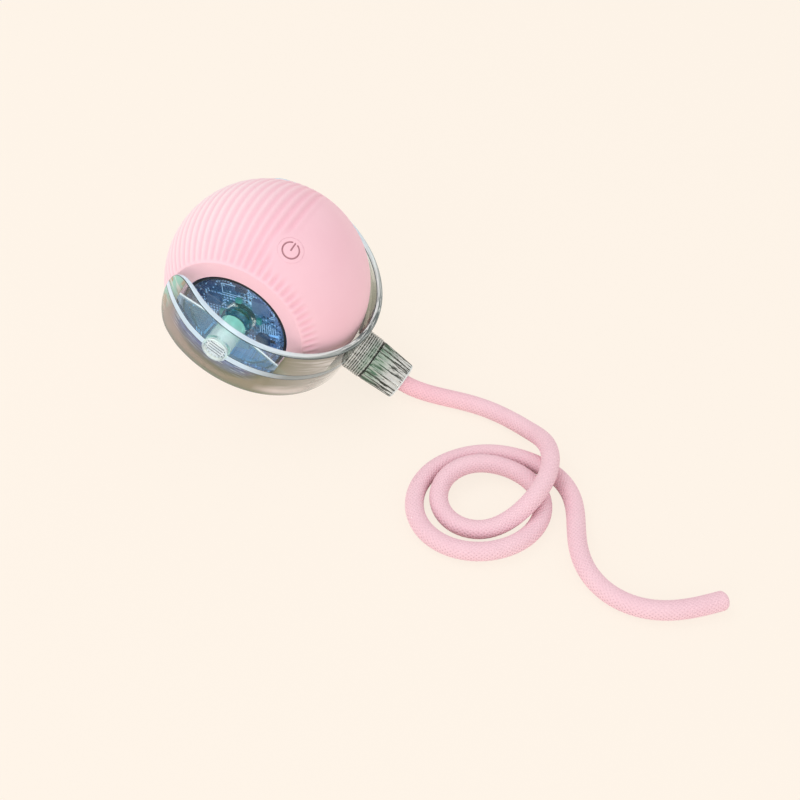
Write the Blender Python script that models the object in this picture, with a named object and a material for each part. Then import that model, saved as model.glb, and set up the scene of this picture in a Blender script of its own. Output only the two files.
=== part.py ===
"""Self rolling cat ball with a swivelling clear yoke and a braided tail.

The pole axis of the ball lies along Y, with the front pole towards -Y.
The tail leaves towards +X.  Z is up and the floor is the plane z = 0.
"""

import math

import bmesh
import bpy
import numpy as np
from mathutils import Matrix, Vector

# Driving sizes of the ball, in metres
BALL_RADIUS = 0.0266
FLOOR_CUT = 0.00015
RIM_WIDTH = 0.00417
SLEEVE_THICKNESS = 0.0017
RIDGE_DEPTH = 0.00035
SHELL_THICKNESS = 0.0016
LIP_LENGTH = 0.0012
LEDGE_DEPTH = 0.0035
LEDGE_TOP = 0.0016
LEDGE_BOTTOM = 0.0036

# Driving sizes of the window and its pivot
WINDOW_SKIN = 0.0012
WINDOW_WALL = 0.0013
WINDOW_FLANGE_WIDTH = 0.0022
WINDOW_FLANGE_THICKNESS = 0.001
PIVOT_BOSS_RADIUS = 0.0042
PIVOT_POCKET_RADIUS = 0.0027
PIVOT_PIN_RADIUS = 0.00125
PIVOT_HEAD_RADIUS = 0.0028
PIVOT_HEAD_THICKNESS = 0.0011
PIVOT_SINK = 0.0006

# Driving sizes of the clear yoke
YOKE_THICKNESS = 0.0017
YOKE_HALF_WIDTH = 0.0092
YOKE_CORNER = 0.0085
YOKE_EDGE = 0.0003
YOKE_TAPER = 0.0008
YOKE_TAPER_LENGTH = 0.013
WEB_THICKNESS = 0.0012
WEB_RISE = 0.00205
HUB_RADIUS = 0.0035
HUB_RISE = 0.0002
COLLAR_RADIUS = 0.006
COLLAR_LENGTH = 0.0045
SPIGOT_RADIUS = 0.004
SPIGOT_BORE = 0.00325
SPIGOT_LENGTH = 0.0062
SPIGOT_FLOOR = 0.0017

# Driving sizes of the tail cap and the rope
CAP_BASE_RADIUS = 0.0058
CAP_END_RADIUS = 0.0051
CAP_LENGTH = 0.0099
CAP_WALL = 0.0024
CAP_RIB_DEPTH = 0.00025
CAP_CHAMFER = 0.0004
ROPE_RADIUS = 0.00228
FERRULE_THICKNESS = 0.00035
FERRULE_FLANGE_RADIUS = 0.0038
FERRULE_FLANGE_THICKNESS = 0.0008
ROPE_STEP = 0.0039

# Driving sizes of the parts inside
CHASSIS_THICKNESS = 0.0015
CHASSIS_TOP = 0.0002
BOARD_THICKNESS = 0.001
PILLAR_RADIUS = 0.0016
PILLAR_PEG_RADIUS = 0.0008
SHIELD_WALL = 0.0006
MOTOR_CAP_LENGTH = 0.0014
MOTOR_SHAFT_RADIUS = 0.00075
GEAR_FACE = 0.0015
IDLER_PIN_RADIUS = 0.001
AXLE_RADIUS = 0.0015
PIN_HEAD_EXTRA = 0.0008
PIN_HEAD_THICKNESS = 0.0012
WEIGHT_HUB_RADIUS = 0.0034
CLIP_RADIUS = 0.0029
CLIP_THICKNESS = 0.0006
BATTERY_EDGE = 0.0008
SOCKET_LENGTH = 0.0073
SOCKET_THICKNESS = 0.0032
SOCKET_WIDTH = 0.009
SOCKET_LIP = 0.0005
SOCKET_TONGUE = 0.0012
SCREW_HEAD_RADIUS = 0.0015
SCREW_HEAD_THICKNESS = 0.0009
SCREW_SHANK_RADIUS = 0.0007
SCREW_LENGTH = 0.0034
SLOT_WIDTH = 0.0005
SLOT_DEPTH = 0.0004

# Driving sizes of the parts on the board: across, up, off the board
CONTROL_CHIP_SIZE = (0.0049, 0.0039, 0.0014)
DRIVER_CHIP_SIZE = (0.0039, 0.0029, 0.0012)
SENSOR_SIZE = (0.003, 0.003, 0.001)
COIL_SIZE = (0.0034, 0.0034, 0.0016)
CRYSTAL_SIZE = (0.0032, 0.0015, 0.0009)
LAMP_LENGTH = 0.0016
LAMP_WIDTH = 0.0012
LAMP_THICKNESS = 0.0009
LAMP_DISTANCE = 0.001
PLUG_SIZE = (0.0045, 0.0028, 0.0018)
CHIP_EDGE = 0.0002
CRYSTAL_EDGE = 0.0003
COIL_EDGE = 0.0006

# Driving sizes of the power button
BUTTON_RADIUS = 0.0031
BUTTON_TRAVEL = 0.0006
BUTTON_STEM_RADIUS = 0.0016
BUTTON_EDGE = 0.0003
SWITCH_SIZE = (0.0045, 0.0045, 0.0018)
SWITCH_PLUNGER_RADIUS = 0.0012
SWITCH_PLUNGER_HEIGHT = 0.0008
BUTTON_BOARD_RADIUS = 0.0031
BUTTON_BOARD_THICKNESS = 0.0009
POST_RADIUS = 0.0011

# Clearances, and the room that is left beside the parts inside
FIT_GAP = 0.0003
RUN_GAP = 0.0002
YOKE_GAP = 0.0005
LAYER_GAP = 0.0004
BOARD_ROOM = 0.0013
SOCKET_ROOM = 0.00137
MOTOR_END_ROOM = 0.00085
MOTOR_SHELL_ROOM = 0.00206
MOTOR_AXLE_ROOM = 0.0032
GEAR_ROOM = 0.00266
WEIGHT_ROOM = 0.0021
AXLE_TAIL = 0.00075
BATTERY_ROOM = 0.0006
BATTERY_SEAT = 0.001
BATTERY_SHELL_ROOM = 0.0075
SWITCH_ROOM = 0.0017
MERGE_DISTANCE = 0.000002

# Angles, in degrees
RIM_POLAR = 44.88
YOKE_TILT = 30.3
YOKE_END_ANGLE = 43.5
MOTOR_CLOCK = -29.0
PILLAR_CLOCK = 59.0
BUTTON_CLOCK = 31.75
BUTTON_POLAR = 67.9
SMOOTH_CLOCK = 68.0
SMOOTH_HALF_WIDTH = 36.0
SMOOTH_POLAR = 56.0
RIM_FADE = 3.0
SIDE_FADE = 8.0
END_FADE = 6.0
WEIGHT_ANGLE = 150.0
SCREW_CLOCKS = (-10.0, 110.0, 230.0)
SHADE_ANGLE = 35.0
MERGE_ANGLE = 0.25

# Counts
RIDGE_COUNT = 66
ROUND_STEPS = 28
FINE_STEPS = 32
PINION_TEETH = 10
IDLER_TEETH = 24
OUTPUT_TEETH = 32
CAP_RIBS = 24
HEAD_NOTCHES = 12
NEIGHBOUR_REACH = 4.5

# Tables of shares, each a fraction of a named size
RING_SHARES = (0.0, 0.055, 0.13, 0.28, 0.48, 0.7, 0.9, 1.0)
TOOTH_TIP_SHARE = 0.11
TOOTH_ROOT_SHARE = 0.29
ADDENDUM_SHARE = 0.9
DEDENDUM_SHARE = 1.15

# Places of the small parts on the board, as shares of the shield's inner radius
CONTROL_CHIP_SHARES = (0.549, 0.425)
DRIVER_CHIP_SHARES = (-0.584, 0.319)
SENSOR_SHARES = (-0.549, -0.46)
COIL_SHARES = (0.5, -0.47)
CRYSTAL_SHARES = (0.0885, 0.761)
PLUG_SHARES = (-0.05, -0.74)

# Height of the ball centre over the floor
CENTRE = Vector((0.0, 0.0, BALL_RADIUS - FLOOR_CUT))

# Directions of the yoke
TILT = math.radians(YOKE_TILT)
FRONT_DIRECTION = Vector((0.0, -1.0, 0.0))
REAR_DIRECTION = Vector((0.0, 1.0, 0.0))
UP = Vector((0.0, 0.0, 1.0))
NECK_DIRECTION = Vector((math.cos(TILT), 0.0, -math.sin(TILT)))
WIDTH_DIRECTION = Vector((math.sin(TILT), 0.0, math.cos(TILT)))

# The tail lies along these hand-chosen points, in shares of one step
ROUTE_STEP = 0.001
ROUTE_SHARES = (
    (47.19, 0.68, 2.47), (54.28, 1.19, 2.42), (61.39, 0.98, 2.42), (68.31, -0.54, 2.51),
    (74.56, -3.68, 3.71), (79.55, -8.26, 6.19), (82.87, -14.34, 7.74), (83.95, -21.32, 7.73),
    (82.74, -28.31, 6.78), (79.27, -33.91, 4.11), (73.72, -38.20, 2.64), (66.46, -38.27, 2.42),
    (61.35, -33.79, 2.90), (60.47, -27.27, 3.85), (64.00, -21.45, 4.40), (69.99, -18.12, 3.71),
    (76.87, -18.01, 2.79), (82.80, -21.66, 2.42), (85.55, -28.18, 2.42), (84.65, -35.16, 2.42),
    (80.72, -41.02, 2.42), (74.73, -44.77, 2.42), (67.72, -45.63, 2.42), (61.14, -43.11, 2.42),
    (56.60, -37.73, 2.42), (54.97, -30.86, 2.42), (56.39, -23.95, 2.42), (60.48, -18.19, 2.42),
    (66.34, -14.14, 2.42), (73.25, -12.48, 2.42), (80.31, -13.06, 2.42), (86.74, -15.93, 2.42),
    (91.31, -21.33, 2.42), (94.00, -27.90, 2.42), (96.56, -34.53, 2.42), (100.55, -40.39, 2.42),
    (106.36, -44.43, 2.42), (113.30, -45.69, 2.42), (120.17, -44.03, 2.42), (126.25, -40.36, 2.42),
    (131.75, -35.85, 2.42),
)

# Sizes of the ball and its windows that follow from the driving sizes
POLE_FLAT = BALL_RADIUS * math.cos(math.radians(RIM_POLAR))
OPENING_RADIUS = BALL_RADIUS * math.sin(math.radians(RIM_POLAR)) - RIM_WIDTH
SLEEVE_INNER = BALL_RADIUS - SLEEVE_THICKNESS
SHELL_OUTER = SLEEVE_INNER - FIT_GAP
SHELL_INNER = SHELL_OUTER - SHELL_THICKNESS
LIP_SPLIT = (SHELL_OUTER + SHELL_INNER) / 2
LEDGE_RADIUS = SHELL_INNER - LEDGE_DEPTH
SLEEVE_FLAT_INNER = POLE_FLAT - SLEEVE_THICKNESS + FIT_GAP
SHELL_FLAT = SLEEVE_FLAT_INNER - FIT_GAP
SHELL_FLAT_INNER = SHELL_FLAT - SHELL_THICKNESS
WINDOW_RADIUS = OPENING_RADIUS - FIT_GAP
WINDOW_FACE = POLE_FLAT - FIT_GAP
WINDOW_FLANGE_RADIUS = WINDOW_RADIUS + WINDOW_FLANGE_WIDTH
WINDOW_FLANGE_TOP = SHELL_FLAT_INNER - FIT_GAP
WINDOW_FLANGE_LOW = WINDOW_FLANGE_TOP - WINDOW_FLANGE_THICKNESS
POCKET_FLOOR = WINDOW_FLANGE_LOW + FIT_GAP + FIT_GAP
PIVOT_BOTTOM = POCKET_FLOOR + FIT_GAP
SHIELD_OUTER = WINDOW_RADIUS - WINDOW_WALL - LAYER_GAP
SHIELD_INNER = SHIELD_OUTER - SHIELD_WALL

# Sizes of the yoke, the cap and the ferrule that follow from them
YOKE_INNER = BALL_RADIUS + YOKE_GAP
YOKE_RADIUS = YOKE_INNER + YOKE_THICKNESS
WEB_CHORD = POLE_FLAT + WEB_RISE
HUB_REACH = YOKE_RADIUS + HUB_RISE
HEAD_FACE = HUB_REACH - PIVOT_SINK
HEAD_SEAT = HEAD_FACE - PIVOT_HEAD_THICKNESS
COLLAR_END = YOKE_RADIUS + COLLAR_LENGTH
SPIGOT_END = COLLAR_END + SPIGOT_LENGTH
SOCKET_FLOOR = YOKE_RADIUS + SPIGOT_FLOOR
FERRULE_START = SOCKET_FLOOR + FIT_GAP + FIT_GAP
CAP_END = COLLAR_END + FIT_GAP + CAP_LENGTH

# Levels of the drive along the axle, counted from the middle of the ball
CHASSIS_LOW = CHASSIS_TOP - CHASSIS_THICKNESS
GEAR_LOW = CHASSIS_TOP + FIT_GAP + FIT_GAP
GEAR_HIGH = GEAR_LOW + GEAR_FACE + LAYER_GAP
WEIGHT_LOW = GEAR_HIGH + GEAR_FACE + FIT_GAP
AXLE_END = WINDOW_FLANGE_LOW - FIT_GAP - FIT_GAP
WEIGHT_HIGH = AXLE_END - AXLE_TAIL - CLIP_THICKNESS - FIT_GAP
BOARD_FACE = WINDOW_FLANGE_LOW - FIT_GAP
BOARD_BACK = BOARD_FACE - BOARD_THICKNESS
SOCKET_BACK = BOARD_BACK - FIT_GAP
BATTERY_FRONT = SOCKET_BACK - SOCKET_THICKNESS - RUN_GAP - FIT_GAP
BATTERY_REAR = -CHASSIS_LOW + BATTERY_SEAT
MOTOR_END = BOARD_BACK - MOTOR_END_ROOM
MOTOR_LENGTH = MOTOR_END - MOTOR_CAP_LENGTH - FIT_GAP + CHASSIS_LOW - FIT_GAP


def chord(radius, along):
    """Radius of the round section of a sphere at a distance from its middle."""
    return math.sqrt(radius ** 2 - along ** 2)


# Sizes across the axle that follow from the room in the shell
AXLE_HEAD_RADIUS = AXLE_RADIUS + PIN_HEAD_EXTRA
CHASSIS_RADIUS = SHELL_INNER - LAYER_GAP
SCREW_CIRCLE = (LEDGE_RADIUS + CHASSIS_RADIUS) / 2
BOARD_RADIUS = chord(SHELL_INNER, BOARD_FACE) - BOARD_ROOM
PILLAR_CIRCLE = BOARD_RADIUS - PILLAR_RADIUS
PILLAR_SIDE = PILLAR_CIRCLE * math.sin(math.radians(PILLAR_CLOCK))
PILLAR_CLOCKS = (PILLAR_CLOCK, -PILLAR_CLOCK, PILLAR_CLOCK - 180.0, 180.0 - PILLAR_CLOCK)
WEIGHT_RADIUS = chord(SHELL_INNER, WEIGHT_HIGH) - WEIGHT_ROOM
MOTOR_REACH = chord(SHELL_INNER, MOTOR_END) - MOTOR_SHELL_ROOM
MOTOR_RADIUS = (MOTOR_REACH - AXLE_HEAD_RADIUS - MOTOR_AXLE_ROOM) / 2
MOTOR_DISTANCE = MOTOR_REACH - MOTOR_RADIUS
GEAR_MODULE = (SHELL_INNER - GEAR_ROOM) / (
    (PINION_TEETH + OUTPUT_TEETH + IDLER_TEETH) / 2 + ADDENDUM_SHARE)
SOCKET_MOUTH = chord(chord(SHELL_INNER, SOCKET_BACK), SOCKET_WIDTH / 2) - SOCKET_ROOM
BATTERY_HALF_LENGTH = PILLAR_SIDE - PILLAR_RADIUS - BATTERY_ROOM
BATTERY_TOP = -(AXLE_HEAD_RADIUS + BATTERY_SEAT)
BATTERY_BOTTOM = -(SHELL_INNER - BATTERY_SHELL_ROOM)
SWITCH_TOP = SHELL_INNER - SWITCH_ROOM
BUTTON_STEM_END = SWITCH_TOP + BUTTON_TRAVEL + RUN_GAP


def clear_scene():
    for item in list(bpy.data.objects):
        bpy.data.objects.remove(item, do_unlink=True)


def frame_towards(direction, side, origin):
    """Matrix whose Z column is the direction and whose X column is the side."""
    z_axis = direction.normalized()
    x_axis = (side - side.dot(z_axis) * z_axis).normalized()
    y_axis = z_axis.cross(x_axis)
    rows = Matrix((x_axis, y_axis, z_axis)).transposed().to_4x4()
    return Matrix.Translation(origin) @ rows


FRONT = frame_towards(FRONT_DIRECTION, UP, CENTRE)
REAR = frame_towards(REAR_DIRECTION, UP, CENTRE)
NECK = frame_towards(NECK_DIRECTION, WIDTH_DIRECTION, CENTRE)
BUTTON_DIRECTION = Vector((
    math.sin(math.radians(BUTTON_POLAR)) * math.sin(math.radians(BUTTON_CLOCK)),
    -math.cos(math.radians(BUTTON_POLAR)),
    math.sin(math.radians(BUTTON_POLAR)) * math.cos(math.radians(BUTTON_CLOCK)),
))
BUTTON = frame_towards(BUTTON_DIRECTION, FRONT_DIRECTION, CENTRE)


def clock_point(radius, clock, along=0.0):
    """Point in the axle frame, the clock angle running from +Z towards +X."""
    angle = math.radians(clock)
    return REAR @ Vector((radius * math.cos(angle), radius * math.sin(angle), along))


def axle_frame(radius, clock):
    """Frame of a shaft parallel to the pole axis, its Z towards +Y."""
    return frame_towards(REAR_DIRECTION, UP, clock_point(radius, clock))


def surface_material(name, colour, rough=0.5, metal=0.0, clear=0.0):
    item = bpy.data.materials.new(name)
    item.use_nodes = True
    shader = item.node_tree.nodes["Principled BSDF"]
    shader.inputs["Base Color"].default_value = (*colour, 1.0)
    shader.inputs["Roughness"].default_value = rough
    shader.inputs["Metallic"].default_value = metal
    shader.inputs["Alpha"].default_value = 1.0 - clear
    item.diffuse_color = (*colour, 1.0 - clear)
    return item


def add_node(name, points, faces, look, origin=CENTRE):
    """One named closed solid, its origin on the given point."""
    mesh = bpy.data.meshes.new(name)
    mesh.from_pydata([tuple(Vector(point) - origin) for point in points], [], faces)
    shell = bmesh.new()
    shell.from_mesh(mesh)
    bmesh.ops.recalc_face_normals(shell, faces=shell.faces)
    shell.to_mesh(mesh)
    shell.free()
    item = bpy.data.objects.new(name, mesh)
    item.location = origin
    bpy.context.scene.collection.objects.link(item)
    if look is not None:
        mesh.materials.append(surface_material(name, *look))
    smooth(item)
    return item


def smooth(item):
    for face in item.data.polygons:
        face.use_smooth = True
    item.data.set_sharp_from_angle(angle=math.radians(SHADE_ANGLE))


def boolean(item, tool, operation):
    """Apply one exact boolean and drop the tool."""
    change = item.modifiers.new(operation.lower(), 'BOOLEAN')
    change.operation = operation
    change.solver = 'EXACT'
    change.object = tool
    bpy.context.view_layer.update()
    graph = bpy.context.evaluated_depsgraph_get()
    made = bpy.data.meshes.new_from_object(item.evaluated_get(graph))
    item.modifiers.clear()
    shell = bmesh.new()
    shell.from_mesh(made)
    bmesh.ops.triangulate(shell, faces=[face for face in shell.faces if len(face.verts) > 4])
    bmesh.ops.dissolve_degenerate(shell, dist=MERGE_DISTANCE, edges=shell.edges)
    shell.to_mesh(made)
    shell.free()
    item.data = made
    bpy.data.objects.remove(tool, do_unlink=True)
    smooth(item)
    return item


def star_solid(name, angles, levels, frame, look, origin=CENTRE):
    """Solid turned about Z from a closed loop of levels (along, radius).

    The radius is one number for a round level, zero for a point on the
    axis, or a list with one radius per angle.
    """
    points = []
    rings = []
    count = len(angles)
    for along, radius in levels:
        start = len(points)
        if radius == 0.0:
            rings.append([start] * count)
            points.append(frame @ Vector((0.0, 0.0, along)))
            continue
        radii = radius if isinstance(radius, list) else [radius] * count
        for angle, reach in zip(angles, radii):
            spot = Vector((reach * math.cos(angle), reach * math.sin(angle), along))
            points.append(frame @ spot)
        rings.append(list(range(start, start + count)))
    faces = []
    for row, following in zip(rings, rings[1:] + rings[:1]):
        if row[0] == row[1] and following[0] == following[1]:
            continue
        for step in range(count):
            turn = (step + 1) % count
            corners = (row[step], row[turn], following[turn], following[step])
            faces.append(list(dict.fromkeys(corners)))
    return add_node(name, points, faces, look, origin)


def revolve(name, profile, frame, look, steps=ROUND_STEPS, origin=CENTRE):
    """Round solid from a closed outline of (radius, along)."""
    angles = [2 * math.pi * step / steps for step in range(steps)]
    levels = [(along, radius) for radius, along in profile]
    return star_solid(name, angles, levels, frame, look, origin)


def drum(name, radius, low, high, frame, look, steps=ROUND_STEPS, origin=CENTRE):
    profile = ((0.0, low), (radius, low), (radius, high), (0.0, high))
    return revolve(name, profile, frame, look, steps, origin)


def tube(name, inner, outer, low, high, frame, look, steps=ROUND_STEPS, origin=CENTRE):
    profile = ((inner, low), (outer, low), (outer, high), (inner, high))
    return revolve(name, profile, frame, look, steps, origin)


def block(name, size, frame, look, edge=0.0, origin=CENTRE):
    """Box centred on the frame, with its long edges cut back when asked."""
    half = [value / 2 for value in size]
    outline = []
    for sign_x, sign_y in ((1, 1), (-1, 1), (-1, -1), (1, -1)):
        first = (sign_x * half[0], sign_y * (half[1] - edge))
        second = (sign_x * (half[0] - edge), sign_y * half[1])
        corner = [first, second] if sign_x * sign_y > 0 else [second, first]
        outline.extend(corner if edge else [(sign_x * half[0], sign_y * half[1])])
    return prism(name, outline, -half[2], half[2], frame, look, origin)


def prism(name, outline, low, high, frame, look, origin=CENTRE):
    """Flat outline in X and Y, drawn out along Z from low to high."""
    count = len(outline)
    points = [frame @ Vector((x, y, low)) for x, y in outline]
    points += [frame @ Vector((x, y, high)) for x, y in outline]
    faces = [list(range(count))[::-1], list(range(count, 2 * count))]
    for index in range(count):
        turn = (index + 1) % count
        faces.append([index, turn, count + turn, count + index])
    return add_node(name, points, faces, look, origin)


def tooth_corners(teeth, phase):
    """Angles where the straight tooth outline turns."""
    pitch = 2 * math.pi / teeth
    corners = []
    for tooth in range(teeth):
        middle = phase + tooth * pitch
        for share in (-TOOTH_ROOT_SHARE, -TOOTH_TIP_SHARE, TOOTH_TIP_SHARE, TOOTH_ROOT_SHARE):
            corners.append((middle + share * pitch) % (2 * math.pi))
    return corners


def tooth_radius(angle, teeth, phase):
    """Radius of the straight tooth outline at one angle."""
    pitch = 2 * math.pi / teeth
    middle = GEAR_MODULE * teeth / 2
    tip = middle + ADDENDUM_SHARE * GEAR_MODULE
    root = middle - DEDENDUM_SHARE * GEAR_MODULE
    offset = abs((angle - phase + pitch / 2) % pitch - pitch / 2) / pitch
    share = (TOOTH_ROOT_SHARE - offset) / (TOOTH_ROOT_SHARE - TOOTH_TIP_SHARE)
    return root + (tip - root) * min(max(share, 0.0), 1.0)


def gear_outline(angles, teeth, phase):
    return [tooth_radius(angle, teeth, phase) for angle in angles]


def sphere_rows(radius, flat, count):
    """Outline of a sphere cut flat at both poles, from low to high."""
    reach = math.asin(flat / radius)
    rows = []
    for step in range(count + 1):
        angle = reach * (2 * step / count - 1)
        rows.append((radius * math.cos(angle), radius * math.sin(angle)))
    return rows


def natural_spline(points, step):
    """Evenly spaced points on a natural cubic curve through given points."""
    knots = np.array(points)
    spans = np.linalg.norm(np.diff(knots, axis=0), axis=1)
    size = len(knots)
    matrix = np.eye(size)
    right = np.zeros((size, 3))
    for index in range(1, size - 1):
        before, after = spans[index - 1], spans[index]
        matrix[index, index - 1:index + 2] = (before, 2 * (before + after), after)
        rise = (knots[index + 1] - knots[index]) / after
        fall = (knots[index] - knots[index - 1]) / before
        right[index] = 6 * (rise - fall)
    bend = np.linalg.solve(matrix, right)
    fine = []
    for index, span in enumerate(spans):
        for share in np.linspace(0.0, 1.0, 24, endpoint=False):
            left, far = 1.0 - share, share
            spot = left * knots[index] + far * knots[index + 1]
            spot = spot + span * span / 6 * (
                (left ** 3 - left) * bend[index] + (far ** 3 - far) * bend[index + 1])
            fine.append(spot)
    fine.append(knots[-1])
    fine = np.array(fine)
    length = np.concatenate(([0.0], np.cumsum(np.linalg.norm(np.diff(fine, axis=0), axis=1))))
    count = int(round(length[-1] / step))
    spots = np.linspace(0.0, length[-1], count + 1)
    return [Vector([np.interp(spot, length, fine[:, axis]) for axis in range(3)]) for spot in spots]


# Colours as (colour, roughness, metalness, clearness)
PINK = ((0.93, 0.62, 0.66), 0.55)
SHELL_WHITE = ((0.86, 0.85, 0.83), 0.45)
CLEAR = ((0.86, 0.90, 0.92), 0.08, 0.0, 0.7)
SMOKE = ((0.62, 0.58, 0.54), 0.08, 0.0, 0.6)
BOARD_BLUE = ((0.05, 0.13, 0.30), 0.45)
CHIP_BLACK = ((0.03, 0.03, 0.035), 0.4)
LAMP_TEAL = ((0.20, 0.80, 0.72), 0.25)
STEEL = ((0.62, 0.63, 0.65), 0.3, 1.0)
BRASS = ((0.80, 0.62, 0.30), 0.3, 1.0)
GEAR_CREAM = ((0.85, 0.82, 0.74), 0.4)
BATTERY_SILVER = ((0.70, 0.71, 0.73), 0.35, 0.6)
FRAME_GREY = ((0.30, 0.31, 0.33), 0.5)
ROPE_PINK = ((0.93, 0.66, 0.69), 0.85)
FOAM_BLACK = ((0.02, 0.02, 0.02), 0.9)


def ridge_share(polar, clock):
    """How deep the groove is at this place, 0 for none and 1 for full."""
    edge = min(polar, 180.0 - polar)
    share = min(max((edge - RIM_POLAR) / RIM_FADE, 0.0), 1.0)
    away = abs((clock - SMOOTH_CLOCK + 180.0) % 360.0 - 180.0)
    side = min(max((away - SMOOTH_HALF_WIDTH) / SIDE_FADE, 0.0), 1.0)
    deep = min(max((SMOOTH_POLAR - edge) / END_FADE, 0.0), 1.0)
    share *= max(side, deep)
    spot = Vector((math.sin(math.radians(polar)) * math.cos(math.radians(clock)),
                   math.sin(math.radians(polar)) * math.sin(math.radians(clock)),
                   -math.cos(math.radians(polar))))
    button = Vector((math.cos(math.radians(BUTTON_CLOCK)) * math.sin(math.radians(BUTTON_POLAR)),
                     math.sin(math.radians(BUTTON_CLOCK)) * math.sin(math.radians(BUTTON_POLAR)),
                     -math.cos(math.radians(BUTTON_POLAR))))
    pad_angle = (BUTTON_RADIUS + FIT_GAP) / BALL_RADIUS
    share *= min(max((spot.angle(button) - pad_angle) / pad_angle, 0.0), 1.0)
    foot = Vector((-1.0, 0.0, 0.0))
    share *= min(max((spot.angle(foot) - 2 * pad_angle) / pad_angle, 0.0), 1.0)
    return share


def build_sleeve():
    columns = 2 * RIDGE_COUNT
    shares = [-share for share in RING_SHARES[:0:-1]] + list(RING_SHARES)
    points = []
    for share in shares:
        polar = 90.0 + share * (90.0 - RIM_POLAR)
        for column in range(columns):
            clock = 360.0 * column / columns
            depth = RIDGE_DEPTH * ridge_share(polar, clock) * (column % 2)
            radius = BALL_RADIUS - depth
            flat = radius * math.sin(math.radians(polar))
            across = flat * math.cos(math.radians(clock))
            across = max(across, -(BALL_RADIUS - FLOOR_CUT))
            along = -radius * math.cos(math.radians(polar))
            points.append(REAR @ Vector((across, flat * math.sin(math.radians(clock)), along)))
    faces = [list(range(columns)), list(range(len(points) - columns, len(points)))]
    for row in range(len(shares) - 1):
        for column in range(columns):
            turn = (column + 1) % columns
            low, high = row * columns, (row + 1) * columns
            faces.append([low + column, low + turn, high + turn, high + column])
    sleeve = add_node("silicone_sleeve", points, faces, PINK)
    reach = BALL_RADIUS
    hollow = [(0.0, -reach), (OPENING_RADIUS, -reach), (OPENING_RADIUS, -SLEEVE_FLAT_INNER)]
    hollow += sphere_rows(SLEEVE_INNER, SLEEVE_FLAT_INNER, 8)
    hollow += [(OPENING_RADIUS, SLEEVE_FLAT_INNER), (OPENING_RADIUS, reach), (0.0, reach)]
    boolean(sleeve, revolve("hollow", hollow, REAR, None, FINE_STEPS), 'DIFFERENCE')
    hole = drum("hole", BUTTON_RADIUS + FIT_GAP, SHELL_INNER, BALL_RADIUS + SLEEVE_THICKNESS,
                BUTTON, None)
    boolean(sleeve, hole, 'DIFFERENCE')
    return sleeve


def shell_profile(male):
    """Outline of one half of the hard shell, the pole side last."""
    start = FIT_GAP / 2
    reach = math.asin(SHELL_FLAT / SHELL_OUTER)
    outer = []
    for step in range(6):
        angle = reach * step / 5
        along = max(SHELL_OUTER * math.sin(angle), start)
        outer.append((SHELL_OUTER * math.cos(angle), along))
    low = WINDOW_RADIUS + FIT_GAP
    profile = outer + [(low, SHELL_FLAT), (low, SHELL_FLAT_INNER)]
    inner_reach = math.asin(SHELL_FLAT_INNER / SHELL_INNER)
    inner_low = math.asin(LEDGE_BOTTOM / SHELL_INNER)
    for step in range(5):
        angle = inner_reach + (inner_low - inner_reach) * step / 4
        profile.append((SHELL_INNER * math.cos(angle), SHELL_INNER * math.sin(angle)))
    if male:
        profile += [(LEDGE_RADIUS, LEDGE_BOTTOM), (LEDGE_RADIUS, LEDGE_TOP)]
        profile += [(SHELL_INNER, LEDGE_TOP), (SHELL_INNER, -LIP_LENGTH)]
        profile += [(LIP_SPLIT, -LIP_LENGTH), (LIP_SPLIT, start)]
    else:
        depth = LIP_LENGTH + FIT_GAP
        profile += [(SHELL_INNER, depth), (LIP_SPLIT + FIT_GAP, depth)]
        profile += [(LIP_SPLIT + FIT_GAP, start)]
    return profile


def build_shells():
    front = revolve("front_shell", shell_profile(True), FRONT, SHELL_WHITE, FINE_STEPS)
    stem = drum("stem", BUTTON_STEM_RADIUS + FIT_GAP, BUTTON_STEM_END - SHELL_THICKNESS,
                BALL_RADIUS, BUTTON, None)
    boolean(front, stem, 'DIFFERENCE')
    slot_size = (SOCKET_THICKNESS + FIT_GAP * 2, SOCKET_WIDTH + FIT_GAP * 2, SHELL_THICKNESS * 4)
    middle = CENTRE + Vector((-SHELL_INNER, socket_height(), 0.0))
    slot_frame = frame_towards(Vector((-1.0, 0.0, 0.0)), REAR_DIRECTION, middle)
    boolean(front, block("slot", slot_size, slot_frame, None, FIT_GAP), 'DIFFERENCE')
    for clock in SCREW_CLOCKS:
        spot = axle_frame(SCREW_CIRCLE, clock)
        bore = drum("bore", SCREW_SHANK_RADIUS + RUN_GAP, -LEDGE_BOTTOM + FIT_GAP,
                    FIT_GAP, spot, None, 12)
        boolean(front, bore, 'DIFFERENCE')
    revolve("rear_shell", shell_profile(False), REAR, SHELL_WHITE, FINE_STEPS)


def socket_height():
    return -SOCKET_BACK + SOCKET_THICKNESS / 2


def build_window(name, frame):
    inner = WINDOW_RADIUS - WINDOW_WALL
    skin = WINDOW_FACE - WINDOW_SKIN
    profile = (
        (0.0, POCKET_FLOOR), (PIVOT_POCKET_RADIUS, POCKET_FLOOR),
        (PIVOT_POCKET_RADIUS, WINDOW_FACE), (WINDOW_RADIUS - YOKE_EDGE, WINDOW_FACE),
        (WINDOW_RADIUS, WINDOW_FACE - YOKE_EDGE), (WINDOW_RADIUS, WINDOW_FLANGE_TOP),
        (WINDOW_FLANGE_RADIUS, WINDOW_FLANGE_TOP), (WINDOW_FLANGE_RADIUS, WINDOW_FLANGE_LOW),
        (inner, WINDOW_FLANGE_LOW), (inner, skin), (PIVOT_BOSS_RADIUS, skin),
        (PIVOT_BOSS_RADIUS, WINDOW_FLANGE_LOW), (0.0, WINDOW_FLANGE_LOW),
    )
    revolve(name, profile, frame, CLEAR, FINE_STEPS)


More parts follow.
